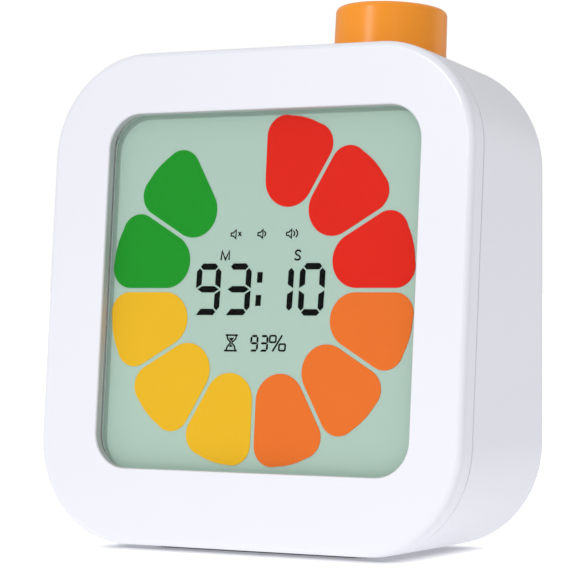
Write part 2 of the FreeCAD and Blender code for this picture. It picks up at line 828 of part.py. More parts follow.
def add_battery_bay(body):
    """A box for two cells behind a recessed ledge, with lips that the door's hooks slide under."""
    recess_width = door_length + size("door_clearance") * 3 + size("door_travel")
    recess_height = door_height + size("door_clearance") * 2
    flange = face_sketch(body, "flange_outline", rear_y - wall / 2, x=recess_middle(), z=bay_z)
    margin = size("ledge_margin") * 2
    rounded_rectangle(flange, recess_width + margin, recess_height + margin, size("door_corner") * 2)
    pad_front(body, "bay_flange", flange, rear_y - wall / 2 - lip_inner)
    box = face_sketch(body, "bay_box_outline", rear_y - wall / 2, z=bay_z)
    inner_height = bay_opening_height + size("bay_undercut") * 2
    box_height = inner_height + size("bay_wall") * 2
    rounded_rectangle(box, bay_outline_width(), box_height, size("bay_wall"))
    pad_front(body, "bay_box", box, rear_y - wall / 2 - bay_floor + size("bay_wall"))
    recess = face_sketch(body, "door_recess_outline", ledge_y, x=recess_middle(), z=bay_z)
    rounded_rectangle(recess, recess_width, recess_height, size("door_corner"))
    cut_back(body, "door_recess", recess, rear_y - ledge_y + 1)
    opening = face_sketch(body, "bay_opening_outline", lip_inner, z=bay_z)
    rectangle(opening, bay_length, bay_opening_height)
    cut_back(body, "bay_opening", opening, size("lip_thickness"))
    inside = face_sketch(body, "bay_inside_outline", bay_floor, z=bay_z)
    rectangle(inside, bay_length, inner_height)
    cut_back(body, "bay_inside", inside, lip_inner - bay_floor)
    notches = face_sketch(body, "hook_notch_outlines", lip_inner, z=bay_z)
    reach = size("bay_undercut")
    half_opening = bay_opening_height / 2
    for hook_x in (size("hook_left_x"), size("hook_right_x")):
        left = hook_x + size("door_travel") - size("hook_width") / 2 - size("hook_clearance")
        right = hook_x + size("door_travel") + size("hook_width") / 2 + size("hook_clearance")
        for side in SIDES:
            near = (half_opening - 1) * side
            far = (half_opening + reach) * side
            closed_outline(notches, [(left, near), (right, near), (right, far), (left, far)])
    cut_back(body, "hook_notches", notches, size("lip_thickness"))


def add_encoder_seat(body):
    """A flat seat square to the knob's axis, thick enough for the nut, with the bush's hole through it."""
    boss = leaning_floor_sketch(body, "seat_boss_circle", encoder_top, x=knob_x, y=knob_y)
    circle(boss, size("seat_boss_radius"))
    pad_up(body, "seat_boss", boss, size("seat_thickness"))
    clearing = leaning_floor_sketch(body, "seat_circle", seat_z, x=knob_x, y=knob_y)
    circle(clearing, size("knob_radius") + size("seat_clearance"))
    cut_up(body, "knob_seat", clearing, size("seat_drop") + 1)
    hole = leaning_floor_sketch(body, "bush_hole_circle", seat_z, x=knob_x, y=knob_y)
    circle(hole, size("bush_radius") + fit / 2)
    cut_down(body, "bush_hole", hole, size("seat_thickness"))


def add_volume_switch_seat(body):
    """A shallow recess with the slider's slot, and two posts inside for the switch's board."""
    recess_floor = rear_y - size("switch_recess_depth")
    recess = face_sketch(body, "switch_recess_outline", recess_floor, x=switch_x, z=switch_z)
    slot_length = size("slider_length") + (size("switch_travel") + size("slider_clearance")) * 2
    slot_height = size("slider_height") + size("slider_clearance") * 2
    margin = size("switch_recess_margin")
    rounded_rectangle(recess, slot_length + margin * 2, slot_height + margin, margin / 2)
    cut_back(body, "switch_recess", recess, size("switch_recess_depth") + 1)
    slot = face_sketch(body, "switch_slot_outline", rear_inner, x=switch_x, z=switch_z)
    rounded_rectangle(slot, slot_length, slot_height, size("slider_edge") + size("slider_clearance") / 2)
    cut_back(body, "switch_slot", slot, wall)
    posts = face_sketch(body, "switch_post_circles", rear_inner, x=switch_x, z=switch_z)
    pilots = face_sketch(body, "switch_pilot_circles", can_front, x=switch_x, z=switch_z)
    for side in SIDES:
        circle(posts, size("switch_post_radius"), switch_post_x * side)
        circle(pilots, size("board_screw_radius") + size("thread_clearance"), switch_post_x * side)
    pad_front(body, "switch_posts", posts, rear_inner - can_front)
    cut_back(body, "switch_pilots", pilots, size("switch_can_depth"))


def add_speaker_seat(body):
    """Sound holes in two rings about one hole, inside the ring that the speaker sits in."""
    ring = face_sketch(body, "speaker_ring_circles", rear_inner, x=speaker_x, z=speaker_z)
    inner = size("speaker_radius") + fit
    circle(ring, inner + size("speaker_ring_wall"))
    circle(ring, inner)
    pad_front(body, "speaker_ring", ring, size("speaker_ring_height"))
    holes = face_sketch(body, "sound_hole_circles", rear_inner, x=speaker_x, z=speaker_z)
    circle(holes, size("sound_hole_radius"))
    for ring_radius, count in ((size("sound_ring_inner"), 6), (size("sound_ring_outer"), 12)):
        for number in range(count):
            turn = 360 * number / count
            x = ring_radius * cosine(as_size(turn))
            z = ring_radius * sine(as_size(turn))
            circle(holes, size("sound_hole_radius"), x, z)
    cut_back(body, "sound_holes", holes, wall)


def foot_places():
    """The strips lie a little in from the front and the back of the flat bottom."""
    front = case_base_y + rear_start + size("foot_inset")
    back = rear_y - size("foot_inset") - size("foot_width") / 2
    return (front, back)


def add_foot_grooves(body):
    top = size("foot_stand") + size("foot_recess")
    for label, y in zip(("front", "back"), foot_places()):
        groove = floor_sketch(body, label + "_groove_outline", top, y=y)
        radius = size("foot_width") / 2
        room = size("loose_clearance") * 2
        rounded_rectangle(groove, size("foot_length") + room, size("foot_width") + room, radius)
        cut_down(body, label + "_groove", groove, top)


def rubber_feet():
    """Two soft strips that the case stands on."""
    master = doc.addObject("PartDesign::Body", "foot_strip")
    sketch = floor_sketch(master, "foot_outline", 0)
    rounding = size("foot_width") / 2 - size("loose_clearance")
    rounded_rectangle(sketch, size("foot_length"), size("foot_width"), rounding)
    strip = pad_up(master, "foot_block", sketch, size("foot_stand") + size("foot_recess"))

    def on_floor(edge):
        return edge_lies_at(edge, "Z", 0)

    round_edges(master, "foot_round", strip, on_floor, size("foot_stand") / 2)
    moves = [move_to(0, y, 0) for y in foot_places()]
    nodes.append(repeated("rubber_feet", master, moves, leaning=False))


def flat_plate(name, y, thickness, z, width, height, radius=None):
    """A plain plate behind the window, parallel to the leaning face."""
    body = new_body(name)
    sketch = face_sketch(body, name + "_outline", y, x=window_x, z=z)
    if radius is None:
        rectangle(sketch, width, height)
    else:
        rounded_rectangle(sketch, width, height, radius)
    pad_back(body, name + "_plate", sketch, thickness)
    nodes.append(body)


def display_stack():
    """The lens, its gasket, the two glasses, the light behind them, their holder and the contact strip."""
    lens_width = window_width + size("lens_margin") * 2
    lens_height = window_height + size("lens_margin") * 2
    lens_radius = size("window_radius") + size("lens_margin")
    thickness = size("lens_thickness")
    flat_plate("display_lens", lens_front, thickness, window_z, lens_width, lens_height, lens_radius)
    gasket = new_body("display_gasket")
    ring = face_sketch(gasket, "gasket_outline", lens_back, x=window_x, z=window_z)
    play = size("loose_clearance")
    rounded_rectangle(ring, lens_width - play * 2, lens_height - play * 2, lens_radius - play)
    inner_radius = size("window_radius") + play
    rounded_rectangle(ring, window_width + play * 2, window_height + play * 2, inner_radius)
    pad_back(gasket, "gasket_ring", ring, size("gasket_thickness"))
    nodes.append(gasket)
    thickness = size("glass_thickness")
    height = glass_top - glass_bottom
    flat_plate("lcd_front_glass", glass_front, thickness, frame_centre_z, glass_width, height)
    height = glass_top - rear_glass_bottom
    middle = (glass_top + rear_glass_bottom) / 2
    flat_plate("lcd_rear_glass", glass_back, thickness, middle, glass_width, height)
    width = window_width + size("glass_margin")
    height = window_height - size("glass_margin")
    thickness = size("backlight_thickness")
    flat_plate("backlight_panel", backlight_front, thickness, window_z, width, height)
    middle = (glass_bottom + rear_glass_bottom) / 2
    thickness = board_front - glass_back
    width = window_width - size("contact_strip_inset") * 2
    flat_plate("contact_strip", glass_back, thickness, middle, width, size("contact_strip_width"))
    holder = new_body("lcd_frame")
    ring = face_sketch(holder, "frame_outline", face, x=window_x, z=frame_centre_z)
    outer_width = frame_inner_width + size("frame_wall") * 2
    outer_height = frame_inner_height + size("frame_wall") * 2
    rounded_rectangle(ring, outer_width, outer_height, size("frame_wall"))
    rectangle(ring, frame_inner_width, frame_inner_height)
    pad_back(holder, "frame_ring", ring, board_front - face)
    nodes.append(holder)


def petal_face(turn):
    """One petal of the dial: straight sides along its sector, a round inner end, a crowned outer edge."""
    half = math.pi / size("petal_count").value
    gap = size("petal_gap").value / 2
    outer = min(window_width.value, window_height.value) / 2 - size("petal_margin").value
    inner = size("petal_inner_distance").value
    corner = size("petal_corner").value
    inner_radius = (inner * math.sin(half) - gap) / (1 - math.sin(half))
    inner_centre = inner + inner_radius
    corner_x = outer - corner
    corner_y = (corner_x * math.sin(half) - gap - corner) / math.cos(half)
    side = Vector(-math.sin(half), math.cos(half), 0)

    def mirrored(point):
        return Vector(point.x, -point.y, 0)

    corner_centre = Vector(corner_x, corner_y, 0)
    corner_side = corner_centre + side * corner
    corner_top = corner_centre + Vector(corner, 0, 0)
    slant = Vector(math.cos(math.pi / 4 - half / 2), math.sin(math.pi / 4 - half / 2), 0)
    inner_side = Vector(inner_centre, 0, 0) + side * inner_radius
    crown = Vector(outer + size("petal_crown").value, 0, 0)
    edges = [
        Part.Arc(mirrored(inner_side), Vector(inner, 0, 0), inner_side).toShape(),
        Part.LineSegment(inner_side, corner_side).toShape(),
        Part.Arc(corner_side, corner_centre + slant * corner, corner_top).toShape(),
        Part.Arc(corner_top, crown, mirrored(corner_top)).toShape(),
        Part.Arc(
            mirrored(corner_top), mirrored(corner_centre + slant * corner), mirrored(corner_side)
        ).toShape(),
        Part.LineSegment(mirrored(corner_side), mirrored(inner_side)).toShape(),
    ]
    flat = Part.Face(Part.Wire(edges))
    centre_x = (window_x + size("ring_shift")).value
    centre_z = (window_z + size("ring_rise")).value
    clockwise = Rotation(Vector(0, 0, 1), 90 - turn)
    flat.Placement = move_to(centre_x, glass_front, centre_z) * FACE_PLANE * Placement(Vector(), clockwise)
    return flat


def petals():
    """Eleven lit petals in four colours, clockwise from the top.  The twelfth place is dark."""
    step = 360 / size("petal_count").value
    colours = [("petals_red", 0, 3), ("petals_orange", 3, 3), ("petals_yellow", 6, 3), ("petals_green", 9, 2)]
    for name, first, count in colours:
        films = []
        for number in range(first, first + count):
            film = petal_face(step * (number + 0.5)).extrude(Vector(0, -size("petal_film").value, 0))
            films.append(film)
        node = doc.addObject("Part::Feature", name)
        node.Label = name
        node.Shape = Part.makeCompound(films)
        lean_with_case(node)
        nodes.append(node)


def main_board():
    """The board behind the display, notched at the top corner where the encoder stands."""
    board = new_body("main_board")
    height = case_height - size("board_edge") * 2
    outline = face_sketch(board, "board_outline", board_front, x=window_x, z=case_height / 2)
    rounded_rectangle(outline, board_width, height, size("board_corner"))
    pad_back(board, "board_plate", outline, size("board_thickness"))
    notch = face_sketch(board, "board_notch_outline", board_front)
    right = case_width / 2
    left = knob_x - size("encoder_board_width") / 2 - size("board_notch_clearance")
    low = encoder_board_z - size("board_notch_clearance")
    closed_outline(notch, [(left, low), (right, low), (right, case_height), (left, case_height)])
    cut_back(board, "board_notch", notch, size("board_thickness"))
    holes = face_sketch(board, "board_hole_circles", board_front)
    for x, z in board_screw_places():
        circle(holes, size("board_screw_radius") + fit, x, z)
    cut_back(board, "board_holes", holes, size("board_thickness"))
    nodes.append(board)

    blob = new_body("controller_blob")
    outline = face_sketch(blob, "blob_circle", board_back, x=size("blob_x"), z=size("blob_z"))
    circle(outline, size("blob_radius"))
    lump = pad_back(blob, "blob_disc", outline, size("blob_height"))

    def on_top(edge):
        return edge_lies_at(edge, "Y", (board_back + size("blob_height")).value)

    round_edges(blob, "blob_round", lump, on_top, size("blob_round"))
    nodes.append(blob)

    crystal = new_body("crystal_can")
    crystal_x = window_x - board_width / 2 + size("crystal_inset")
    outline = face_sketch(crystal, "crystal_outline", board_back, x=crystal_x, z=size("crystal_z"))
    width = size("crystal_width")
    rounded_rectangle(outline, width, size("crystal_length"), width / 2 - size("loose_clearance"))
    pad_back(crystal, "crystal_block", outline, size("crystal_height"))
    nodes.append(crystal)

    header = new_body("wire_header")
    header_x = window_x + board_width / 2 - size("header_inset")
    outline = face_sketch(header, "header_outline", board_back, x=header_x, z=size("header_z"))
    length = size("header_length")
    width = size("header_width")
    thickness = size("header_wall")
    rectangle(outline, length, width)
    pad_back(header, "header_block", outline, size("header_height"))
    floor = board_back + thickness
    slot = face_sketch(header, "header_slot", floor, x=header_x, z=size("header_z"))
    rectangle(slot, length - thickness * 2, width - thickness * 2)
    cut_back(header, "header_hollow", slot, size("header_height") - thickness)
    nodes.append(header)


def screw_master(name, radius, length, head_radius, head):
    """A pan-head screw along +Y: the shank from y = 0 forwards to -length, the head behind it."""
    master = doc.addObject("PartDesign::Body", name)
    head_sketch = face_sketch(master, name + "_head_circle", 0)
    circle(head_sketch, head_radius)
    top = pad_back(master, name + "_head", head_sketch, head)

    def on_crown(edge):
        return edge_lies_at(edge, "Y", head.value)

    round_edges(master, name + "_crown", top, on_crown, head / 3)
    shank = face_sketch(master, name + "_shank_circle", 0)
    circle(shank, radius)
    pad_front(master, name + "_shank", shank, length)
    cross = face_sketch(master, name + "_cross_outline", head)
    arm = head_radius * 0.62
    slit = head_radius * 0.14
    points = [(arm, slit), (slit, slit), (slit, arm), (-slit, arm), (-slit, slit), (-arm, slit)]
    points = points + [(-x, -z) for x, z in points]
    closed_outline(cross, points)
    cut_front(master, name + "_cross", cross, head * 0.55)
    return master


def case_screws():
    master = screw_master(
        "case_screw",
        size("case_screw_radius"),
        size("case_screw_length"),
        size("case_screw_head_radius"),
        size("case_screw_head"),
    )
    depth = size("case_boss_end") + size("well_seat")
    moves = []
    for z in (size("case_screw_low_z"), case_screw_high_z):
        for side in SIDES:
            moves.append(move_to(case_screw_x * side, depth, z))
    nodes.append(repeated("case_screws", master, moves, leaning=True))


def board_screws():
    master = screw_master(
        "board_screw",
        size("board_screw_radius"),
        size("board_screw_length"),
        size("board_screw_head_radius"),
        size("board_screw_head"),
    )
    moves = [move_to(x, board_back, z) for x, z in board_screw_places()]
    nodes.append(repeated("board_screws", master, moves, leaning=True))


def encoder():
    """The rotary encoder under the seat: yoke with threaded bush, base, rotor, plunger, shaft and nut."""
    box = size("encoder_size")
    yoke = new_body("encoder_yoke")
    plate = floor_sketch(yoke, "yoke_plate_outline", plate_base, x=knob_x, y=knob_y)
    plate_width = box + size("encoder_yoke_leg") * 2
    rectangle(plate, plate_width, box)
    pad_up(yoke, "yoke_plate", plate, size("encoder_plate"))
    bush = floor_sketch(yoke, "bush_circle", encoder_top, x=knob_x, y=knob_y)
    circle(bush, size("bush_radius"))
    pad_up(yoke, "yoke_bush", bush, size("bush_length"))
    legs = floor_sketch(yoke, "yoke_leg_outlines", plate_base, x=knob_x, y=knob_y)
    near = box / 2
    far = near + size("encoder_yoke_leg")
    reach = size("yoke_leg_width") / 2
    for side in SIDES:
        inner = near * side
        outer = far * side
        closed_outline(legs, [(inner, -reach), (outer, -reach), (outer, reach), (inner, reach)])
    pad(yoke, "yoke_legs", legs, size("encoder_body_height"), reverse=True)
    bore = floor_sketch(yoke, "bush_bore_circle", bush_top, x=knob_x, y=knob_y)
    circle(bore, size("shaft_radius") + size("shaft_running_clearance"))
    cut_down(yoke, "bush_bore", bore, bush_top - plate_base)
    nodes.append(yoke)

    base = new_body("encoder_base")
    block = floor_sketch(base, "base_outline", encoder_base_z, x=knob_x, y=knob_y)
    rectangle(block, box, box)
    pad_up(base, "base_block", block, size("encoder_body_height"))
    cavity_base = rotor_base - size("rotor_clearance")
    cavity = floor_sketch(base, "rotor_cavity_circle", plate_base, x=knob_x, y=knob_y)
    circle(cavity, size("rotor_radius") + size("rotor_clearance"))
    cut_down(base, "rotor_cavity", cavity, plate_base - cavity_base)
    well = floor_sketch(base, "plunger_well_circle", plate_base, x=knob_x, y=knob_y)
    circle(well, size("plunger_radius") + size("rotor_clearance"))
    cut_down(base, "plunger_well", well, size("encoder_body_height") - size("encoder_floor"))
    nodes.append(base)

    rotor = new_body("encoder_rotor")
    disc = floor_sketch(rotor, "rotor_circle", rotor_base, x=knob_x, y=knob_y)
    circle(disc, size("rotor_radius"))
    neck = size("shaft_neck_radius") + size("shaft_running_clearance")
    neck_flat = size("shaft_neck_flat") + size("shaft_running_clearance")
    d_profile(disc, neck, neck_flat)
    pad_up(rotor, "rotor_disc", disc, size("rotor_thickness"))
    nodes.append(rotor)

    plunger_base = plunger_top - size("plunger_thickness")
    plunger = turned(
        "push_plunger",
        [
            (0, plunger_base),
            (size("plunger_radius") / 2, plunger_base),
            (size("plunger_radius"), plunger_base + size("plunger_thickness") / 2),
            (size("plunger_radius"), plunger_top),
            (0, plunger_top),
        ],
        x=knob_x,
        y=knob_y,
    )
    nodes.append(plunger)

    shaft = new_body("encoder_shaft")
    neck = floor_sketch(shaft, "neck_profile", shaft_end, x=knob_x, y=knob_y)
    d_profile(neck, size("shaft_neck_radius"), size("shaft_neck_flat"))
    pad_up(shaft, "shaft_neck", neck, shaft_step - shaft_end)
    barrel = floor_sketch(shaft, "barrel_circle", shaft_step, x=knob_x, y=knob_y)
    circle(barrel, size("shaft_radius"))
    pad_up(shaft, "shaft_barrel", barrel, driver_base - shaft_step)
    driver = floor_sketch(shaft, "driver_profile", driver_base, x=knob_x, y=knob_y)
    d_profile(driver, size("shaft_radius"), size("shaft_flat"))
    pad_up(shaft, "shaft_driver", driver, knob_ceiling - hub_base)
    nodes.append(shaft)

    washer = new_body("encoder_washer")
    ring = floor_sketch(washer, "washer_circles", seat_z, x=knob_x, y=knob_y)
    circle(ring, size("washer_radius"))
    circle(ring, size("bush_radius") + size("loose_clearance"))
    pad_up(washer, "washer_ring", ring, size("washer_thickness"))
    nodes.append(washer)

    nut = new_body("encoder_nut")
    hexagon = floor_sketch(nut, "nut_outline", seat_z + size("washer_thickness"), x=knob_x, y=knob_y)
    across_corners = size("nut_across_flats") / cosine(as_size(30)) / 2
    corners = []
    for number in range(6):
        turn = as_size(60 * number)
        corners.append((across_corners * cosine(turn), across_corners * sine(turn)))
    closed_outline(hexagon, corners)
    circle(hexagon, size("bush_radius") + size("thread_clearance"))
    pad_up(nut, "nut_block", hexagon, size("nut_thickness"))
    nodes.append(nut)

    small_board = new_body("encoder_board")
    outline = floor_sketch(small_board, "encoder_board_outline", encoder_board_z, x=knob_x, y=knob_y)
    corner = size("encoder_board_corner")
    rounded_rectangle(outline, size("encoder_board_width"), size("encoder_board_depth"), corner)
    pad_up(small_board, "encoder_board_plate", outline, size("board_thickness"))
    nodes.append(small_board)


def knob():
    """The turned knob: a slightly tapered cup with a hub that grips the shaft's flat."""
    outer_low = size("knob_radius")
    outer_high = outer_low - size("knob_taper")
    inner = outer_low - size("knob_wall")
    hub = size("knob_hub_radius")
    body = new_body("knob")
    sketch = face_sketch(body, "knob_outline", knob_y, x=knob_x)
    points = [
        (0, knob_top),
        (outer_high, knob_top),
        (outer_low, knob_base),
        (inner, knob_base),
        (inner, knob_ceiling),
        (hub, knob_ceiling),
        (hub, hub_base),
        (0, hub_base),
    ]
    closed_outline(sketch, points)
    cup = body.newObject("PartDesign::Revolution", "knob_turned")
    cup.Profile = sketch
    cup.ReferenceAxis = (sketch, ["V_Axis"])
    cup.Angle = 360
    sketch.Visibility = False

    def on_rim(edge):
        wide = edge.BoundBox.XLength > 2 * outer_high.value - 0.1
        return wide and edge_lies_at(edge, "Z", knob_top.value)

    round_edges(body, "knob_rim", cup, on_rim, size("knob_round"))
    bore = floor_sketch(body, "knob_bore_profile", hub_base, x=knob_x, y=knob_y)
    play = size("thread_clearance")
    d_profile(bore, size("shaft_radius") + play, size("shaft_flat") + play)
    cut_up(body, "knob_bore", bore, knob_ceiling - hub_base)
    nodes.append(body)


def battery_door():
    """The sliding door: a plate with finger grooves outside and four hooks inside."""
    body = new_body("battery_door", leaning=False)
    outline = face_sketch(body, "door_outline", door_inner, z=bay_z)
    rounded_rectangle(outline, door_length, door_height, size("door_corner"))
    pad_back(body, "door_plate", outline, size("door_thickness"))
    grooves = face_sketch(body, "door_groove_outlines", rear_y, x=size("door_groove_x"), z=bay_z)
    count = round(size("door_groove_count").value)
    end = size("door_groove_length") / 2
    for number in range(count):
        middle = size("door_groove_pitch") * (number - (count - 1) / 2)
        left = middle - size("door_groove_width") / 2
        right = middle + size("door_groove_width") / 2
        closed_outline(grooves, [(left, -end), (right, -end), (right, end), (left, end)])
    cut_front(body, "door_grooves", grooves, size("door_groove"))
    foot_back = lip_inner - size("hook_clearance")
    foot_front = foot_back - size("hook_thickness")
    half_opening = bay_opening_height / 2
    stem_far = half_opening - size("hook_clearance")
    stem_near = stem_far - size("hook_thickness")
    foot_far = half_opening + size("bay_undercut") - size("hook_clearance")
    stems = face_sketch(body, "hook_stem_outlines", door_inner, z=bay_z)
    feet = face_sketch(body, "hook_foot_outlines", foot_back, z=bay_z)
    for x in (size("hook_left_x"), size("hook_right_x")):
        left = x - size("hook_width") / 2
        right = x + size("hook_width") / 2
        for side in SIDES:
            near = stem_near * side
            far = stem_far * side
            tip = foot_far * side
            closed_outline(stems, [(left, near), (right, near), (right, far), (left, far)])
            closed_outline(feet, [(left, near), (right, near), (right, tip), (left, tip)])
    pad_front(body, "hook_stems", stems, door_inner - foot_front)
    pad_front(body, "hook_feet", feet, size("hook_thickness"))
    nodes.append(body)


def battery_cells():
    """Two cells side by side, nose to tail."""
    master = doc.addObject("PartDesign::Body", "cell")
    outline = face_sketch(master, "cell_outline", 0)
    half = size("cell_length") / 2
    radius = size("cell_radius")
    edge = size("cell_edge")
    button = size("cell_button_radius")
    points = [
        (0, -half),
        (radius - edge, -half),
        (radius, -half + edge),
        (radius, half - edge),
        (radius - edge, half),
        (button, half),
        (button, half + size("cell_button")),
        (0, half + size("cell_button")),
    ]
    closed_outline(outline, points)
    turned_cell = master.newObject("PartDesign::Revolution", "cell_turned")
    turned_cell.Profile = outline
    turned_cell.ReferenceAxis = (outline, ["V_Axis"])
    turned_cell.Angle = 360
    outline.Visibility = False
    moves = []
    for side in SIDES:
        along = Rotation(Vector(0, 1, 0), 90 * side)
        moves.append(move_to(0, cell_y, bay_z + cell_pitch / 2 * side, along))
    nodes.append(repeated("battery_cells", master, moves, leaning=False))


def contact_plate(body, label, x, z, height, direction):
    """A thin plate on the bay's end wall, standing inwards by its thickness."""
    sketch = face_sketch(body, label + "_outline", bay_floor, z=bay_z)
    thickness = size("contact_thickness")
    inner_x = x - thickness * direction
    half = as_size(height) / 2
    points = [(x, z - half), (inner_x, z - half), (inner_x, z + half), (x, z + half)]
    closed_outline(sketch, points)
    pad_back(body, label, sketch, size("cell_radius") * 2)


def spring_leaf(body, label, x, z, direction, reach):
    """A bent leaf from the plate to the flat end of a cell."""
    sketch = floor_sketch(body, label + "_outline", bay_z + z - size("leaf_width") / 2, y=cell_y)
    thickness = size("contact_thickness")
    start = x - thickness * direction
    tip = start - reach * direction
    spread = size("leaf_spread") / 2
    flat = size("leaf_tip") / 2
    points = [
        (start, -spread),
        (tip, -flat),
        (tip, flat),
        (start, spread),
        (start, spread - thickness * 2),
        (tip + thickness * direction, 0),
        (start, thickness * 2 - spread),
    ]
    closed_outline(sketch, points)
    pad_up(body, label, sketch, size("leaf_width"))


def battery_contacts():
    """At one end a bridge joins the cells; at the other each cell has a contact of its own."""
    end = bay_length / 2
    half_pitch = cell_pitch / 2
    width = size("contact_width")
    flat_gap = end - size("contact_thickness") - size("cell_length") / 2 - size("contact_play")
    bump_gap = flat_gap - size("cell_button")

    bridge = new_body("contact_bridge", leaning=False)
    contact_plate(bridge, "bridge_plate", -end, ZERO, cell_pitch + width, -1)
    spring_leaf(bridge, "bridge_leaf", -end, half_pitch, -1, flat_gap)
    spring_leaf(bridge, "bridge_bump", -end, -half_pitch, -1, bump_gap)
    nodes.append(bridge)

    negative = new_body("contact_negative", leaning=False)
    contact_plate(negative, "negative_plate", end, -half_pitch, width, 1)
    spring_leaf(negative, "negative_leaf", end, -half_pitch, 1, flat_gap)
    nodes.append(negative)

    positive = new_body("contact_positive", leaning=False)
    contact_plate(positive, "positive_plate", end, half_pitch, width, 1)
    spring_leaf(positive, "positive_bump", end, half_pitch, 1, bump_gap)
    nodes.append(positive)


def volume_switch():
    """A small slide switch on its own board, with a ribbed slider that shows in the recess."""
    can = new_body("volume_switch_can", leaning=False)
    thickness = size("switch_can_wall")
    outline = face_sketch(can, "can_outline", can_front, x=switch_x, z=switch_z)
    rectangle(outline, size("switch_can_length"), size("switch_can_height"))
    pad_back(can, "can_block", outline, size("switch_can_depth"))
    inner_length = size("switch_can_length") - thickness * 2
    inner_height = size("switch_can_height") - thickness * 2
    inside = face_sketch(can, "can_inside_outline", can_front, x=switch_x, z=switch_z)
    rectangle(inside, inner_length, inner_height)
    cut_back(can, "can_inside", inside, size("switch_can_depth") - thickness)
    stem_length = size("slider_stem_length")
    stem_height = size("slider_stem_height")
    reach = (size("switch_travel") + size("slider_clearance")) * 2
    slot = face_sketch(can, "can_slot_outline", can_back - thickness, x=switch_x, z=switch_z)
    rectangle(slot, stem_length + reach, stem_height + size("slider_clearance") * 2)
    cut_back(can, "can_slot", slot, thickness)
    nodes.append(can)

    slider = new_body("volume_slider", leaning=False)
    head_base = can_back + size("loose_clearance")
    head_top = rear_y - size("slider_sunk")
    head = face_sketch(slider, "slider_head_outline", head_base, x=switch_x, z=switch_z)
    rounded_rectangle(head, size("slider_length"), size("slider_height"), size("slider_edge"))
    pad_back(slider, "slider_head", head, head_top - head_base)
    stem_front = can_back - thickness - size("slider_clearance")
    stem = face_sketch(slider, "slider_stem_outline", head_base, x=switch_x, z=switch_z)
    rectangle(stem, stem_length, stem_height)
    pad_front(slider, "slider_stem", stem, head_base - stem_front)
    foot = face_sketch(slider, "slider_foot_outline", stem_front, x=switch_x, z=switch_z)
    foot_length = inner_length - (size("switch_travel") + size("slider_clearance")) * 2
    rectangle(foot, foot_length, inner_height - size("slider_clearance") * 2)
    foot_depth = size("switch_can_depth") - thickness - size("slider_clearance") * 2
    pad_front(slider, "slider_foot", foot, foot_depth)
    ribs = face_sketch(slider, "slider_rib_outlines", head_top, x=switch_x, z=switch_z)
    end = size("slider_height")
    for number in (-1, 0, 1):
        left = size("slider_rib_pitch") * number - size("slider_rib_width") / 2
        right = left + size("slider_rib_width")
        closed_outline(ribs, [(left, -end), (right, -end), (right, end), (left, end)])
    cut_front(slider, "slider_ribs", ribs, size("slider_rib_depth"))
    nodes.append(slider)

    board = new_body("volume_board", leaning=False)
    plate = face_sketch(board, "volume_board_outline", switch_board_front, x=switch_x, z=switch_z)
    corner = size("encoder_board_corner")
    length = (switch_post_x + size("switch_board_margin")) * 2
    rounded_rectangle(plate, length, size("switch_board_height"), corner)
    for side in SIDES:
        circle(plate, size("board_screw_radius") + fit / 2, switch_post_x * side)
    pad_back(board, "volume_board_plate", plate, size("switch_board_thickness"))
    nodes.append(board)

    length = size("switch_board_thickness") + size("switch_can_depth") - size("wall") / 2
    master = screw_master(
        "volume_screw",
        size("board_screw_radius"),
        length,
        size("board_screw_head_radius"),
        size("board_screw_head"),
    )
    facing_back = Rotation(Vector(0, 0, 1), 180)
    moves = []
    for side in SIDES:
        x = switch_x + switch_post_x * side
        moves.append(move_to(x, switch_board_front, switch_z, facing_back))
    nodes.append(repeated("volume_board_screws", master, moves, leaning=False))


def speaker():
    """A small round speaker: a cup, the cone that faces the sound holes, and the magnet."""
    radius = size("speaker_radius")
    depth = size("speaker_depth")
    thickness = size("speaker_wall")
    back = rear_inner - size("loose_clearance")

    basket = new_body("speaker_basket", leaning=False)
    outline = face_sketch(basket, "basket_circle", back, x=speaker_x, z=speaker_z)
    circle(outline, radius)
    cup = pad_front(basket, "basket_disc", outline, depth)

    def on_front(edge):
        return edge_lies_at(edge, "Y", (back - depth).value)

    round_edges(basket, "basket_round", cup, on_front, size("speaker_round"))
    inside = face_sketch(basket, "basket_hollow_circle", back, x=speaker_x, z=speaker_z)
    circle(inside, radius - thickness * 2)
    cut_front(basket, "basket_hollow", inside, depth - thickness)
    nodes.append(basket)

    cone = new_body("speaker_cone", leaning=False)
    profile = floor_sketch(cone, "cone_outline", speaker_z, x=speaker_x)
    rim = radius - thickness * 2 - size("loose_clearance")
    rim_y = back - thickness
    edge = size("cone_edge")
    low = rim_y - size("cone_depth")
    throat = rim / 2
    shoulder = rim - edge * 4
    points = [
        (0, low),
        (throat, low),
        (shoulder, rim_y - edge),
        (rim, rim_y - edge),
        (rim, rim_y),
        (shoulder, rim_y),
        (throat, low + edge),
        (0, low + edge),
    ]
    closed_outline(profile, points)
    shape = cone.newObject("PartDesign::Revolution", "cone_turned")
    shape.Profile = profile
    shape.ReferenceAxis = (profile, ["V_Axis"])
    shape.Angle = 360
    profile.Visibility = False
    nodes.append(cone)

    magnet = new_body("speaker_magnet", leaning=False)
    outline = face_sketch(magnet, "magnet_circle", back - depth, x=speaker_x, z=speaker_z)
    circle(outline, size("magnet_radius"))
    pad_front(magnet, "magnet_disc", outline, size("magnet_thickness"))
    nodes.append(magnet)


def build():
    front_shell()
    rear_shell()
    rubber_feet()
    display_stack()
    petals()
    main_board()
    case_screws()
    board_screws()
    encoder()
    knob()
    battery_door()
    battery_cells()
    battery_contacts()
    volume_switch()
    speaker()


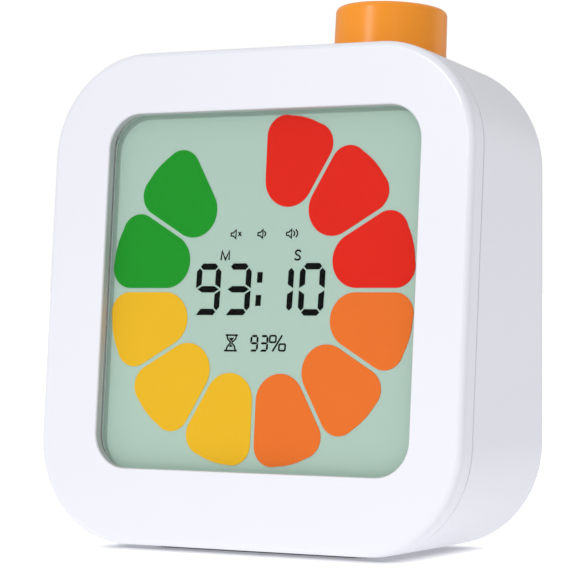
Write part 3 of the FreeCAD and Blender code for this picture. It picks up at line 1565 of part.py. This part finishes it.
def check_volumes():
    """Every pad has to add material, and every pocket has to take some away."""
    for body in doc.findObjects("PartDesign::Body"):
        before = 0.0
        for feature in body.Group:
            if feature.TypeId == "Sketcher::SketchObject":
                continue
            after = feature.Shape.Volume
            grows = feature.TypeId in ("PartDesign::Pad", "PartDesign::Revolution")
            if grows and after < before + 0.001:
                raise RuntimeError("%s adds nothing" % feature.Label)
            if not grows and after > before - 0.0001:
                raise RuntimeError("%s cuts nothing" % feature.Label)
            before = after


def check_states():
    for item in doc.Objects:
        if "Invalid" in item.State or "Error" in item.State:
            raise RuntimeError("%s failed: %s" % (item.Label, item.State))
    for node in nodes:
        shape = node.Shape
        if shape.isNull() or not shape.isValid() or not shape.Solids:
            raise RuntimeError("%s has no valid solid" % node.Label)


build()
doc.recompute()
check_states()
check_volumes()
os.makedirs("parts", exist_ok=True)
for node in nodes:
    node.Shape.exportStep(os.path.join("parts", node.Label + ".step"))
print("%d nodes written" % len(nodes))
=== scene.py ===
import math

import bmesh
import bpy
from mathutils import Matrix, Vector


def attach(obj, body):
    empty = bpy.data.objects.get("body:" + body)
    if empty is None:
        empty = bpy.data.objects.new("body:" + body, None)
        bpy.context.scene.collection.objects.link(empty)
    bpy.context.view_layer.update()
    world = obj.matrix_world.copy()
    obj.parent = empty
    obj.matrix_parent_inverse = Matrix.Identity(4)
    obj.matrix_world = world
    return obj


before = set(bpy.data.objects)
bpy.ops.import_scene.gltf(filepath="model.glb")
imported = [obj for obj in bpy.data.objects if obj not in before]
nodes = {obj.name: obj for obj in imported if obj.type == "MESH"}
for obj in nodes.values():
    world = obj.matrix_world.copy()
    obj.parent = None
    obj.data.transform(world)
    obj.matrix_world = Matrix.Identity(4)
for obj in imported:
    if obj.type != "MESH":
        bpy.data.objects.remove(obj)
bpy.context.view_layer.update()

MM = 0.001

# The case leans back from the floor. Its own frame has depth running from its face towards its back.
LEAN = math.radians(5.0)
CASE_FOOT = Vector((0.0, -0.01805, 0.00094))
CASE = Matrix.Translation(CASE_FOOT) @ Matrix.Rotation(-LEAN, 4, "X")


def in_case(across, depth, up):
    """A place in the case's own frame, in millimetres, as a point in metres."""
    return CASE @ Vector((across * MM, depth * MM, up * MM))


def rgb(red, green, blue):
    """An 8-bit screen colour as linear values, by the sRGB curve."""
    linear = []
    for channel in (red, green, blue):
        level = channel / 255
        linear.append(level / 12.92 if level <= 0.04045 else ((level + 0.055) / 1.055) ** 2.4)
    return (linear[0], linear[1], linear[2], 1.0)


# Materials

NOISE_DETAIL = 4.0
GRAIN_DETAIL = 3.0
GRAIN_DEPTH = 0.00005
COAT_ROUGHNESS = 0.12


def surface(
    name,
    colour,
    roughness,
    metallic=0.0,
    shade=0.03,
    patch=40.0,
    grain=2500.0,
    bump=0.05,
    rough_spread=0.06,
    coat=0.0,
    alpha=1.0,
    specular=0.5,
    stretch=(1.0, 1.0, 1.0),
):
    """A moulded, rolled or printed surface: soft patches of tone, a fine grain, wandering roughness."""
    material = bpy.data.materials.new(name)
    material.use_nodes = True
    tree = material.node_tree
    shader = tree.nodes["Principled BSDF"]
    place = tree.nodes.new("ShaderNodeTexCoord")
    mapping = tree.nodes.new("ShaderNodeMapping")
    mapping.inputs["Scale"].default_value = stretch
    tree.links.new(place.outputs["Object"], mapping.inputs["Vector"])

    patches = tree.nodes.new("ShaderNodeTexNoise")
    patches.inputs["Scale"].default_value = patch
    patches.inputs["Detail"].default_value = NOISE_DETAIL
    tree.links.new(mapping.outputs["Vector"], patches.inputs["Vector"])
    if shade > 0:
        tones = tree.nodes.new("ShaderNodeMix")
        tones.data_type = "RGBA"
        tones.inputs[6].default_value = [c * (1 - shade) for c in colour[:3]] + [1.0]
        tones.inputs[7].default_value = [min(1.0, c * (1 + shade)) for c in colour[:3]] + [1.0]
        tree.links.new(patches.outputs["Fac"], tones.inputs[0])
        tree.links.new(tones.outputs[2], shader.inputs["Base Color"])
    else:
        shader.inputs["Base Color"].default_value = colour

    wander = tree.nodes.new("ShaderNodeMapRange")
    wander.inputs["To Min"].default_value = max(0.0, roughness - rough_spread)
    wander.inputs["To Max"].default_value = min(1.0, roughness + rough_spread)
    tree.links.new(patches.outputs["Fac"], wander.inputs["Value"])
    tree.links.new(wander.outputs["Result"], shader.inputs["Roughness"])

    grains = tree.nodes.new("ShaderNodeTexNoise")
    grains.inputs["Scale"].default_value = grain
    grains.inputs["Detail"].default_value = GRAIN_DETAIL
    tree.links.new(mapping.outputs["Vector"], grains.inputs["Vector"])
    relief = tree.nodes.new("ShaderNodeBump")
    relief.inputs["Strength"].default_value = bump
    relief.inputs["Distance"].default_value = GRAIN_DEPTH
    tree.links.new(grains.outputs["Fac"], relief.inputs["Height"])
    tree.links.new(relief.outputs["Normal"], shader.inputs["Normal"])

    shader.inputs["Metallic"].default_value = metallic
    shader.inputs["Coat Weight"].default_value = coat
    shader.inputs["Coat Roughness"].default_value = COAT_ROUGHNESS
    shader.inputs["Specular IOR Level"].default_value = specular
    shader.inputs["Alpha"].default_value = alpha
    return material


def film(name, colour):
    """A coloured film behind the front glass, flat and without shine."""
    return surface(name, colour, 0.42, shade=0.02, patch=120, grain=9000, bump=0.03, specular=0.02)


CASE_WHITE = surface(
    "case_white", rgb(235, 236, 242), 0.36, shade=0.012, patch=28, grain=5200, bump=0.05, coat=0.15
)
KNOB_ORANGE = surface(
    "knob_orange",
    rgb(251, 154, 40),
    0.3,
    shade=0.02,
    patch=60,
    grain=4200,
    bump=0.05,
    coat=0.06,
    specular=0.25,
)
LCD_GROUND = surface(
    "lcd_ground", rgb(189, 217, 202), 0.5, shade=0.012, patch=90, grain=9000, bump=0.03, specular=0.05
)
LENS = surface(
    "lens_clear", (0.03, 0.035, 0.034, 1), 0.05, shade=0.0, bump=0.0, rough_spread=0.01, alpha=0.05
)
RED = film("film_red", rgb(242, 42, 28))
ORANGE = film("film_orange", rgb(252, 125, 48))
YELLOW = film("film_yellow", rgb(255, 199, 42))
GREEN = film("film_green", rgb(34, 161, 44))
INK = surface("display_ink", rgb(6, 7, 8), 0.5, shade=0.1, patch=300, grain=9000, bump=0.02, specular=0.02)
GASKET = surface("gasket_foam", rgb(226, 234, 230), 0.9, shade=0.05, patch=400, grain=1800, bump=0.5)
FRAME_GREY = surface(
    "frame_grey", rgb(150, 154, 158), 0.55, shade=0.03, patch=120, grain=4000, bump=0.08
)
RUBBER = surface("foot_rubber", rgb(52, 52, 55), 0.85, shade=0.12, patch=160, grain=1500, bump=0.45)
ZINC = surface(
    "screw_steel", rgb(196, 198, 202), 0.32, metallic=1.0, shade=0.08, patch=300, grain=2600, bump=0.15
)
NICKEL = surface(
    "contact_nickel", rgb(214, 213, 208), 0.22, metallic=1.0, shade=0.06, patch=200, grain=3000, bump=0.1
)
BRUSHED = surface(
    "shaft_steel",
    rgb(190, 192, 196),
    0.3,
    metallic=1.0,
    shade=0.06,
    patch=120,
    grain=2400,
    bump=0.2,
    stretch=(1, 1, 12),
)
BRASS = surface(
    "nut_brass", rgb(206, 178, 112), 0.3, metallic=1.0, shade=0.08, patch=260, grain=2600, bump=0.15
)
BOARD = surface(
    "board_green", rgb(22, 92, 52), 0.4, shade=0.12, patch=220, grain=1400, bump=0.25, coat=0.3
)
BLACK_PLASTIC = surface(
    "black_plastic", rgb(34, 34, 36), 0.5, shade=0.1, patch=120, grain=3600, bump=0.15
)
RESIN = surface("resin_black", rgb(12, 12, 13), 0.2, shade=0.15, patch=200, grain=900, bump=0.2, coat=0.6)
IVORY = surface("ivory_plastic", rgb(226, 222, 208), 0.45, shade=0.03, patch=120, grain=3600, bump=0.1)
MILKY = surface("diffuser_white", rgb(232, 236, 236), 0.35, shade=0.01, patch=60, grain=6000, bump=0.03)
SILICONE = surface(
    "contact_rubber", rgb(176, 96, 96), 0.7, shade=0.1, patch=300, grain=2000, bump=0.2, stretch=(8, 1, 1)
)
CONE = surface("cone_film", rgb(196, 188, 164), 0.4, shade=0.06, patch=240, grain=2000, bump=0.2)
MAGNET = surface(
    "magnet_iron", rgb(112, 112, 116), 0.35, metallic=1.0, shade=0.1, patch=200, grain=1800, bump=0.2
)
CELL = surface(
    "cell_can", rgb(124, 130, 138), 0.34, metallic=0.9, shade=0.05, patch=140, grain=2200, bump=0.1
)
SLIDER = surface("slider_plastic", rgb(46, 46, 50), 0.55, shade=0.1, patch=200, grain=3000, bump=0.2)

FINISHES = {
    "front_shell": CASE_WHITE,
    "rear_shell": CASE_WHITE,
    "battery_door": CASE_WHITE,
    "rubber_feet": RUBBER,
    "case_screws": ZINC,
    "board_screws": ZINC,
    "volume_board_screws": ZINC,
    "display_lens": LENS,
    "display_gasket": GASKET,
    "lcd_front_glass": LCD_GROUND,
    "lcd_rear_glass": LCD_GROUND,
    "petals_red": RED,
    "petals_orange": ORANGE,
    "petals_yellow": YELLOW,
    "petals_green": GREEN,
    "backlight_panel": MILKY,
    "lcd_frame": FRAME_GREY,
    "contact_strip": SILICONE,
    "main_board": BOARD,
    "encoder_board": BOARD,
    "volume_board": BOARD,
    "controller_blob": RESIN,
    "crystal_can": NICKEL,
    "wire_header": IVORY,
    "knob": KNOB_ORANGE,
    "encoder_shaft": BRUSHED,
    "encoder_yoke": BRASS,
    "encoder_base": BLACK_PLASTIC,
    "encoder_rotor": IVORY,
    "push_plunger": IVORY,
    "encoder_nut": BRASS,
    "encoder_washer": ZINC,
    "speaker_basket": BLACK_PLASTIC,
    "speaker_cone": CONE,
    "speaker_magnet": MAGNET,
    "volume_switch_can": NICKEL,
    "volume_slider": SLIDER,
    "battery_cells": CELL,
    "contact_bridge": NICKEL,
    "contact_negative": NICKEL,
    "contact_positive": NICKEL,
}

for name, node in nodes.items():
    for slot in node.material_slots:
        slot.material = FINISHES[name]


def finished_object(name, build, material):
    """A closed shape as an object with one material, its faces turned outwards."""
    bmesh.ops.recalc_face_normals(build, faces=build.faces)
    mesh = bpy.data.meshes.new(name)
    build.to_mesh(mesh)
    build.free()
    mesh.materials.append(material)
    shape = bpy.data.objects.new(name, mesh)
    bpy.context.scene.collection.objects.link(shape)
    return shape


# Ink on the display, in millimetres across and up in the case's frame

GLASS_FACE = 2.7
INK_THICKNESS = 0.06


def ink_piece(name, outlines):
    """Flat filled shapes that stand a hair proud of the front glass."""
    build = bmesh.new()
    for outline in outlines:
        back = [build.verts.new(in_case(x, GLASS_FACE, y)) for x, y in outline]
        front = [build.verts.new(in_case(x, GLASS_FACE - INK_THICKNESS, y)) for x, y in outline]
        build.faces.new(front)
        build.faces.new(list(reversed(back)))
        count = len(outline)
        for i in range(count):
            j = (i + 1) % count
            build.faces.new((front[i], back[i], back[j], front[j]))
    piece = finished_object(name, build, INK)
    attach(piece, "case")


# A mitre is drawn no longer than a bend of 120 degrees needs.
LEAST_COSINE = 0.5


def stroke(points, width, closed=False):
    """A line of even width through points, as one four-sided outline per run with mitred joints."""
    count = len(points)
    runs = count if closed else count - 1
    edges = []
    for i in range(count):
        here = Vector(points[i])
        arriving = None
        leaving = None
        if closed or i > 0:
            arriving = (here - Vector(points[i - 1])).normalized()
        if closed or i < count - 1:
            leaving = (Vector(points[(i + 1) % count]) - here).normalized()
        arriving = arriving or leaving
        leaving = leaving or arriving
        along = (arriving + leaving).normalized()
        across = Vector((-along.y, along.x))
        stretch = 1 / max(LEAST_COSINE, across.dot(Vector((-leaving.y, leaving.x))))
        offset = across * width / 2 * stretch
        edges.append((here + offset, here - offset))
    outlines = []
    for i in range(runs):
        start_left, start_right = edges[i]
        end_left, end_right = edges[(i + 1) % count]
        outlines.append([tuple(start_right), tuple(end_right), tuple(end_left), tuple(start_left)])
    return outlines


# The bars run a, b, c, d, e, f round a digit from its top, with g across. D is a bottom bar that
# ends in a point on the left.
SEGMENTS = {
    "0": "abcdef",
    "1": "bc",
    "3": "abcDg",
    "9": "abcDfg",
}


def seven_segments(character, left, bottom, width, height, bar, slant):
    """One digit of lit bars with pointed ends. The left edge is measured at half height."""
    middle = height / 2
    half = bar / 2
    tip = bar * 0.67
    flat = bar * 1.15
    side_tip = bar * 0.52
    side_top = bar * 0.76
    shoulder = bar * 1.3
    shoulder_in = bar * 1.2
    clear = bar * 0.19
    clear_in = bar * 0.78
    needle = bar * 0.3
    upper_left = [
        (side_tip, height - side_top),
        (bar, height - shoulder_in),
        (bar, middle + clear_in),
        (0, middle + clear),
        (0, height - shoulder),
    ]
    top = [
        (tip, height - half),
        (flat, height),
        (width - flat, height),
        (width - tip, height - half),
        (width - flat, height - bar),
        (flat, height - bar),
    ]
    cross = [
        (needle, middle),
        (flat, middle + half),
        (width - flat, middle + half),
        (width - needle, middle),
        (width - flat, middle - half),
        (flat, middle - half),
    ]
    shapes = {
        "a": top,
        "b": [(width - x, y) for x, y in upper_left],
        "c": [(width - x, height - y) for x, y in upper_left],
        "d": [(x, height - y) for x, y in top],
        "e": [(x, height - y) for x, y in upper_left],
        "f": upper_left,
        "g": cross,
        "D": [(needle, 0), (flat, bar), (width - flat, bar), (width - tip, half), (width - flat, 0)],
    }
    outlines = []
    for letter in SEGMENTS[character]:
        outlines.append([(left + x + slant * (y - middle), bottom + y) for x, y in shapes[letter]])
    return outlines


TIME_DIGIT = {"bottom": 42.15, "width": 5.22, "height": 9.4, "bar": 1.14, "slant": 0.022}
TIME_DIGITS = (("tens", "9", -12.83), ("ones", "3", -6.38), ("sixth", "1", 2.49), ("last", "0", 8.95))
for place, character, left in TIME_DIGITS:
    ink_piece("digit_" + place, seven_segments(character, left, **TIME_DIGIT))

colon = [
    [(0.1, 48.04), (1.19, 48.04), (1.26, 49.95), (0.17, 49.95)],
    [(-0.04, 43.86), (1.06, 43.86), (1.12, 45.81), (0.02, 45.81)],
]
ink_piece("digit_colon", colon)

PERCENT_DIGIT = {"bottom": 35.62, "width": 1.66, "height": 2.99, "bar": 0.38, "slant": 0.03}
PERCENT_LINE = 0.31
hoop = [
    (-0.65, -0.45),
    (-0.62, 0.43),
    (-0.42, 0.58),
    (0.45, 0.58),
    (0.66, 0.4),
    (0.62, -0.43),
    (0.42, -0.6),
    (-0.45, -0.6),
]
percent = seven_segments("9", -0.72, **PERCENT_DIGIT)
percent += seven_segments("3", 1.36, **PERCENT_DIGIT)
percent += stroke([(4.0, 35.7), (5.91, 38.6)], PERCENT_LINE)
for hoop_x, hoop_y in ((3.98, 37.92), (5.96, 36.43)):
    percent += stroke([(hoop_x + x, hoop_y + y) for x, y in hoop], PERCENT_LINE, closed=True)
ink_piece("percent_left", percent)

LETTER_LINE = 0.28
letter_m = [(-7.73, 52.17), (-7.53, 53.79), (-6.81, 52.24), (-6.0, 53.78), (-6.02, 52.16)]
letter_s = [
    (9.0, 53.55),
    (8.75, 53.8),
    (8.3, 53.84),
    (7.96, 53.64),
    (7.93, 53.3),
    (8.2, 53.05),
    (8.62, 52.88),
    (8.9, 52.62),
    (8.86, 52.32),
    (8.55, 52.15),
    (8.1, 52.13),
    (7.75, 52.36),
]
ink_piece("letter_minutes", stroke(letter_m, LETTER_LINE))
ink_piece("letter_seconds", stroke(letter_s, LETTER_LINE))

ICON_BOTTOM = 56.04
ICON_LINE = 0.22


def volume_icon(name, left, marks):
    """A little loudspeaker, a box with a horn in outline, with its marks of loudness or silence."""
    horn = [(0.03, 0.52), (0.5, 0.5), (1.06, 0.05), (1.1, 1.6), (0.52, 1.08), (0.05, 1.04)]
    outlines = stroke([(left + x, ICON_BOTTOM + y) for x, y in horn], ICON_LINE, closed=True)
    for mark in marks:
        outlines += stroke(mark, ICON_LINE)
    ink_piece(name, outlines)


volume_icon("icon_mute", -5.85, [[(-4.24, 57.24), (-3.66, 56.54)], [(-3.74, 57.23), (-4.24, 56.55)]])
volume_icon("icon_low", -0.18, [[(1.16, 57.36), (1.45, 57.05), (1.47, 56.75), (1.22, 56.42)]])
volume_icon(
    "icon_high",
    5.82,
    [
        [(7.26, 57.36), (7.53, 57.05), (7.54, 56.75), (7.3, 56.42)],
        [(7.76, 57.62), (8.13, 57.15), (8.14, 56.65), (7.84, 56.2)],
    ],
)

HOURGLASS_LINE = 0.26
left_wall = [(-5.66, 38.4), (-5.55, 37.87), (-4.95, 37.25), (-4.95, 37.08), (-5.5, 36.55), (-5.78, 35.87)]
right_wall = [(-3.75, 38.4), (-3.83, 37.87), (-4.58, 37.25), (-4.58, 37.08), (-4.06, 36.55), (-3.86, 35.87)]
upper_sand = [(-5.28, 38.05), (-4.74, 37.4), (-4.16, 38.05)]
lower_sand = [(-5.2, 36.42), (-4.4, 36.42), (-4.8, 36.92)]
hourglass = [
    [(-6.01, 38.4), (-3.42, 38.4), (-3.41, 38.68), (-6.0, 38.68)],
    [(-6.17, 35.58), (-3.5, 35.58), (-3.51, 35.87), (-6.16, 35.87)],
]
hourglass += stroke(left_wall, HOURGLASS_LINE)
hourglass += stroke(right_wall, HOURGLASS_LINE)
hourglass += [upper_sand, lower_sand]
ink_piece("icon_hourglass", hourglass)

# Painted shade: a dark band in the gap between the two halves of the case, where the gap lies in
# shade, and grey on the window's wall, which is turned away from the key light. Boxes give left,
# right, bottom and top in millimetres.

# Painted shade for the seam gap, dark where the gap lies in shade.
SEAM_PAINTED_SHADE = surface(
    "seam_shadow", rgb(64, 64, 78), 0.8, shade=0.1, patch=200, grain=2500, bump=0.1, specular=0.1
)
# Painted shade for the window's wall, grey where the wall is turned away from the key light.
WINDOW_WALL_PAINTED_SHADE = surface(
    "window_wall_painted_shade", rgb(186, 190, 190), 0.7, shade=0.02, patch=200, grain=2500, bump=0.1, specular=0.05
)
CASE_BOX = (-44.0, 44.0, 0.0, 90.6)
CASE_CORNER = 19.2
WINDOW_BOX = (-31.7, 33.7, 13.8, 79.2)
WINDOW_CORNER = 6.5
CORNER_STEPS = 24


def round_outline(box, corner, inset):
    """Points round a rectangle with round corners, across and up, inset by some amount."""
    left, right, bottom, top = box
    corners = (
        (right - corner, top - corner, 0),
        (left + corner, top - corner, 90),
        (left + corner, bottom + corner, 180),
        (right - corner, bottom + corner, 270),
    )
    radius = corner - inset
    points = []
    for x, y, start in corners:
        for step in range(CORNER_STEPS + 1):
            angle = math.radians(start + 90 * step / CORNER_STEPS)
            points.append((x + radius * math.cos(angle), y + radius * math.sin(angle)))
    return points


def ring(name, box, corner, insets, depths, material):
    """A band along a round-cornered rectangle, between two insets from it and two depths from the face."""
    outer, inner = insets
    front, back = depths
    build = bmesh.new()
    loops = []
    for inset, depth in ((outer, front), (outer, back), (inner, back), (inner, front)):
        outline = round_outline(box, corner, inset)
        loops.append([build.verts.new(in_case(x, depth, y)) for x, y in outline])
    count = len(loops[0])
    for k, loop in enumerate(loops):
        following = loops[(k + 1) % len(loops)]
        for i in range(count):
            j = (i + 1) % count
            build.faces.new((loop[i], loop[j], following[j], following[i]))
    piece = finished_object(name, build, material)
    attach(piece, "case")


# The seam band is painted shade.
ring("seam_painted_shade", CASE_BOX, CASE_CORNER, (0.1, 0.6), (3.88, 4.12), SEAM_PAINTED_SHADE)
# The window's wall band is painted shade.
ring("window_liner_painted_shade", WINDOW_BOX, WINDOW_CORNER, (0.02, 0.1), (0.35, 1.66), WINDOW_WALL_PAINTED_SHADE)

# Floor. It looks white to the camera but for the contact shadow, which is rendered shade with painted
# shadow on top: the glow the camera sees fades out over a block under the case. It also throws a soft
# light from below.

FLOOR_HALF = 30.0
FLOOR_COLOUR = (0.8, 0.8, 0.81, 1)
FLOOR_ROUGHNESS = 0.8
SHADOW_HALF_X = 0.027
SHADOW_HALF_Y = 0.0145
SHADOW_FADE = 0.009
SEEN_GLOW = 0.7
BOUNCE_NEAR = 0.08
BOUNCE_FAR = 0.35
BOUNCE = 0.38

floor_material = bpy.data.materials.new("floor_white")
floor_material.use_nodes = True
floor_tree = floor_material.node_tree
floor_shader = floor_tree.nodes["Principled BSDF"]
floor_shader.inputs["Base Color"].default_value = FLOOR_COLOUR
floor_shader.inputs["Roughness"].default_value = FLOOR_ROUGHNESS
floor_shader.inputs["Specular IOR Level"].default_value = 0.0
floor_shader.inputs["Emission Color"].default_value = (1, 1, 1, 1)


def math_node(operation, *values):
    """A sum on the floor's nodes. Each value is a number or another node's output."""
    node = floor_tree.nodes.new("ShaderNodeMath")
    node.operation = operation
    for socket, value in zip(node.inputs, values):
        if isinstance(value, (int, float)):
            socket.default_value = value
        else:
            floor_tree.links.new(value, socket)
    return node.outputs[0]


def ramp(value, low, high, start, end):
    """A smooth change from start to end while a value runs from low to high."""
    node = floor_tree.nodes.new("ShaderNodeMapRange")
    node.interpolation_type = "SMOOTHSTEP"
    node.inputs["From Min"].default_value = low
    node.inputs["From Max"].default_value = high
    node.inputs["To Min"].default_value = start
    node.inputs["To Max"].default_value = end
    floor_tree.links.new(value, node.inputs["Value"])
    return node.outputs["Result"]


def outside(coordinate, half):
    """How far a coordinate lies beyond a half width, or nothing."""
    return math_node("MAXIMUM", math_node("SUBTRACT", math_node("ABSOLUTE", coordinate), half), 0.0)


# How far a spot on the floor is from the block of painted contact shadow under the case.
floor_place = floor_tree.nodes.new("ShaderNodeTexCoord")
floor_axes = floor_tree.nodes.new("ShaderNodeSeparateXYZ")
floor_tree.links.new(floor_place.outputs["Object"], floor_axes.inputs[0])
beyond_x = outside(floor_axes.outputs[0], SHADOW_HALF_X)
beyond_y = outside(floor_axes.outputs[1], SHADOW_HALF_Y)
squares = math_node("ADD", math_node("POWER", beyond_x, 2.0), math_node("POWER", beyond_y, 2.0))
beyond = math_node("SQRT", squares)

floor_path = floor_tree.nodes.new("ShaderNodeLightPath")
camera_ray = floor_path.outputs["Is Camera Ray"]
# Painted contact shadow: the glow the camera sees fades out over the block under the case.
seen_glow = math_node("MULTIPLY", ramp(beyond, 0.0, SHADOW_FADE, 0.0, SEEN_GLOW), camera_ray)
other_ray = math_node("SUBTRACT", 1.0, camera_ray)
bounce_glow = math_node("MULTIPLY", ramp(beyond, BOUNCE_NEAR, BOUNCE_FAR, BOUNCE, 0.0), other_ray)
glow = math_node("ADD", seen_glow, bounce_glow)
floor_tree.links.new(glow, floor_shader.inputs["Emission Strength"])

floor_mesh = bpy.data.meshes.new("floor")
floor_corners = [
    (-FLOOR_HALF, -FLOOR_HALF, 0),
    (FLOOR_HALF, -FLOOR_HALF, 0),
    (FLOOR_HALF, FLOOR_HALF, 0),
    (-FLOOR_HALF, FLOOR_HALF, 0),
]
floor_mesh.from_pydata(floor_corners, [], [(0, 1, 2, 3)])
floor_mesh.materials.append(floor_material)
floor = bpy.data.objects.new("floor", floor_mesh)
bpy.context.scene.collection.objects.link(floor)

# World. The sky is a little brighter overhead, and plain white behind the object.

SKY_COLOUR = (0.975, 0.98, 1.0, 1)
SKY_LEVEL = 0.47
SKY_OVERHEAD = 0.85

world = bpy.data.worlds.new("studio")
bpy.context.scene.world = world
world.use_nodes = True
world_tree = world.node_tree
world_tree.nodes.clear()
output = world_tree.nodes.new("ShaderNodeOutputWorld")
ambient = world_tree.nodes.new("ShaderNodeBackground")
ambient.inputs["Color"].default_value = SKY_COLOUR
way = world_tree.nodes.new("ShaderNodeTexCoord")
way_axes = world_tree.nodes.new("ShaderNodeSeparateXYZ")
world_tree.links.new(way.outputs["Generated"], way_axes.inputs[0])
sky = world_tree.nodes.new("ShaderNodeMapRange")
sky.inputs["From Min"].default_value = 0.0
sky.inputs["From Max"].default_value = 1.0
sky.inputs["To Min"].default_value = SKY_LEVEL
sky.inputs["To Max"].default_value = SKY_OVERHEAD
world_tree.links.new(way_axes.outputs["Z"], sky.inputs["Value"])
world_tree.links.new(sky.outputs["Result"], ambient.inputs["Strength"])
backdrop = world_tree.nodes.new("ShaderNodeBackground")
backdrop.inputs["Color"].default_value = (1, 1, 1, 1)
backdrop.inputs["Strength"].default_value = 1.0
chooser = world_tree.nodes.new("ShaderNodeMixShader")
world_path = world_tree.nodes.new("ShaderNodeLightPath")
world_tree.links.new(world_path.outputs["Is Camera Ray"], chooser.inputs[0])
world_tree.links.new(ambient.outputs[0], chooser.inputs[1])
world_tree.links.new(backdrop.outputs[0], chooser.inputs[2])
world_tree.links.new(chooser.outputs[0], output.inputs["Surface"])

# Lights

CASE_MIDDLE = (0, 0, 0.045)


def aim(thing, target):
    direction = Vector(target) - thing.location
    thing.rotation_euler = direction.to_track_quat("-Z", "Y").to_euler()


def area_light(name, place, width, height, power):
    """A rectangle of light that faces the middle of the case and stays out of the picture."""
    data = bpy.data.lights.new(name, "AREA")
    data.shape = "RECTANGLE"
    data.size = width
    data.size_y = height
    data.energy = power
    light = bpy.data.objects.new(name, data)
    light.location = place
    light.visible_camera = False
    bpy.context.scene.collection.objects.link(light)
    aim(light, CASE_MIDDLE)


def sun(name, azimuth, elevation, strength, spread):
    """Light from far away. Azimuth runs from the front towards the right, in degrees."""
    data = bpy.data.lights.new(name, "SUN")
    data.energy = strength
    data.angle = math.radians(spread)
    light = bpy.data.objects.new(name, data)
    turn = math.radians(azimuth)
    rise = math.radians(elevation)
    light.location = (math.sin(turn) * math.cos(rise), -math.cos(turn) * math.cos(rise), math.sin(rise))
    bpy.context.scene.collection.objects.link(light)
    aim(light, (0, 0, 0))


sun("key", azimuth=-19.0, elevation=21.0, strength=0.95, spread=1.5)
area_light("strip", (0.62, -0.78, 0.10), width=0.05, height=0.9, power=0.35)
area_light("rim", (0.65, 0.95, 0.15), width=0.6, height=0.7, power=0.8)

# Camera

CAMERA_PLACE = (0.254919, -0.430652, 0.047236)
CAMERA_TILT = 90.117
CAMERA_TURN = 30.698
CAMERA_SENSOR = 36.0
CAMERA_LENS = 172.52

camera_data = bpy.data.cameras.new("camera")
camera_data.sensor_width = CAMERA_SENSOR
camera_data.lens = CAMERA_LENS
camera = bpy.data.objects.new("camera", camera_data)
camera.location = CAMERA_PLACE
camera.rotation_euler = (math.radians(CAMERA_TILT), 0, math.radians(CAMERA_TURN))
bpy.context.scene.collection.objects.link(camera)
bpy.context.scene.camera = camera
bpy.context.scene.view_settings.view_transform = "Standard"
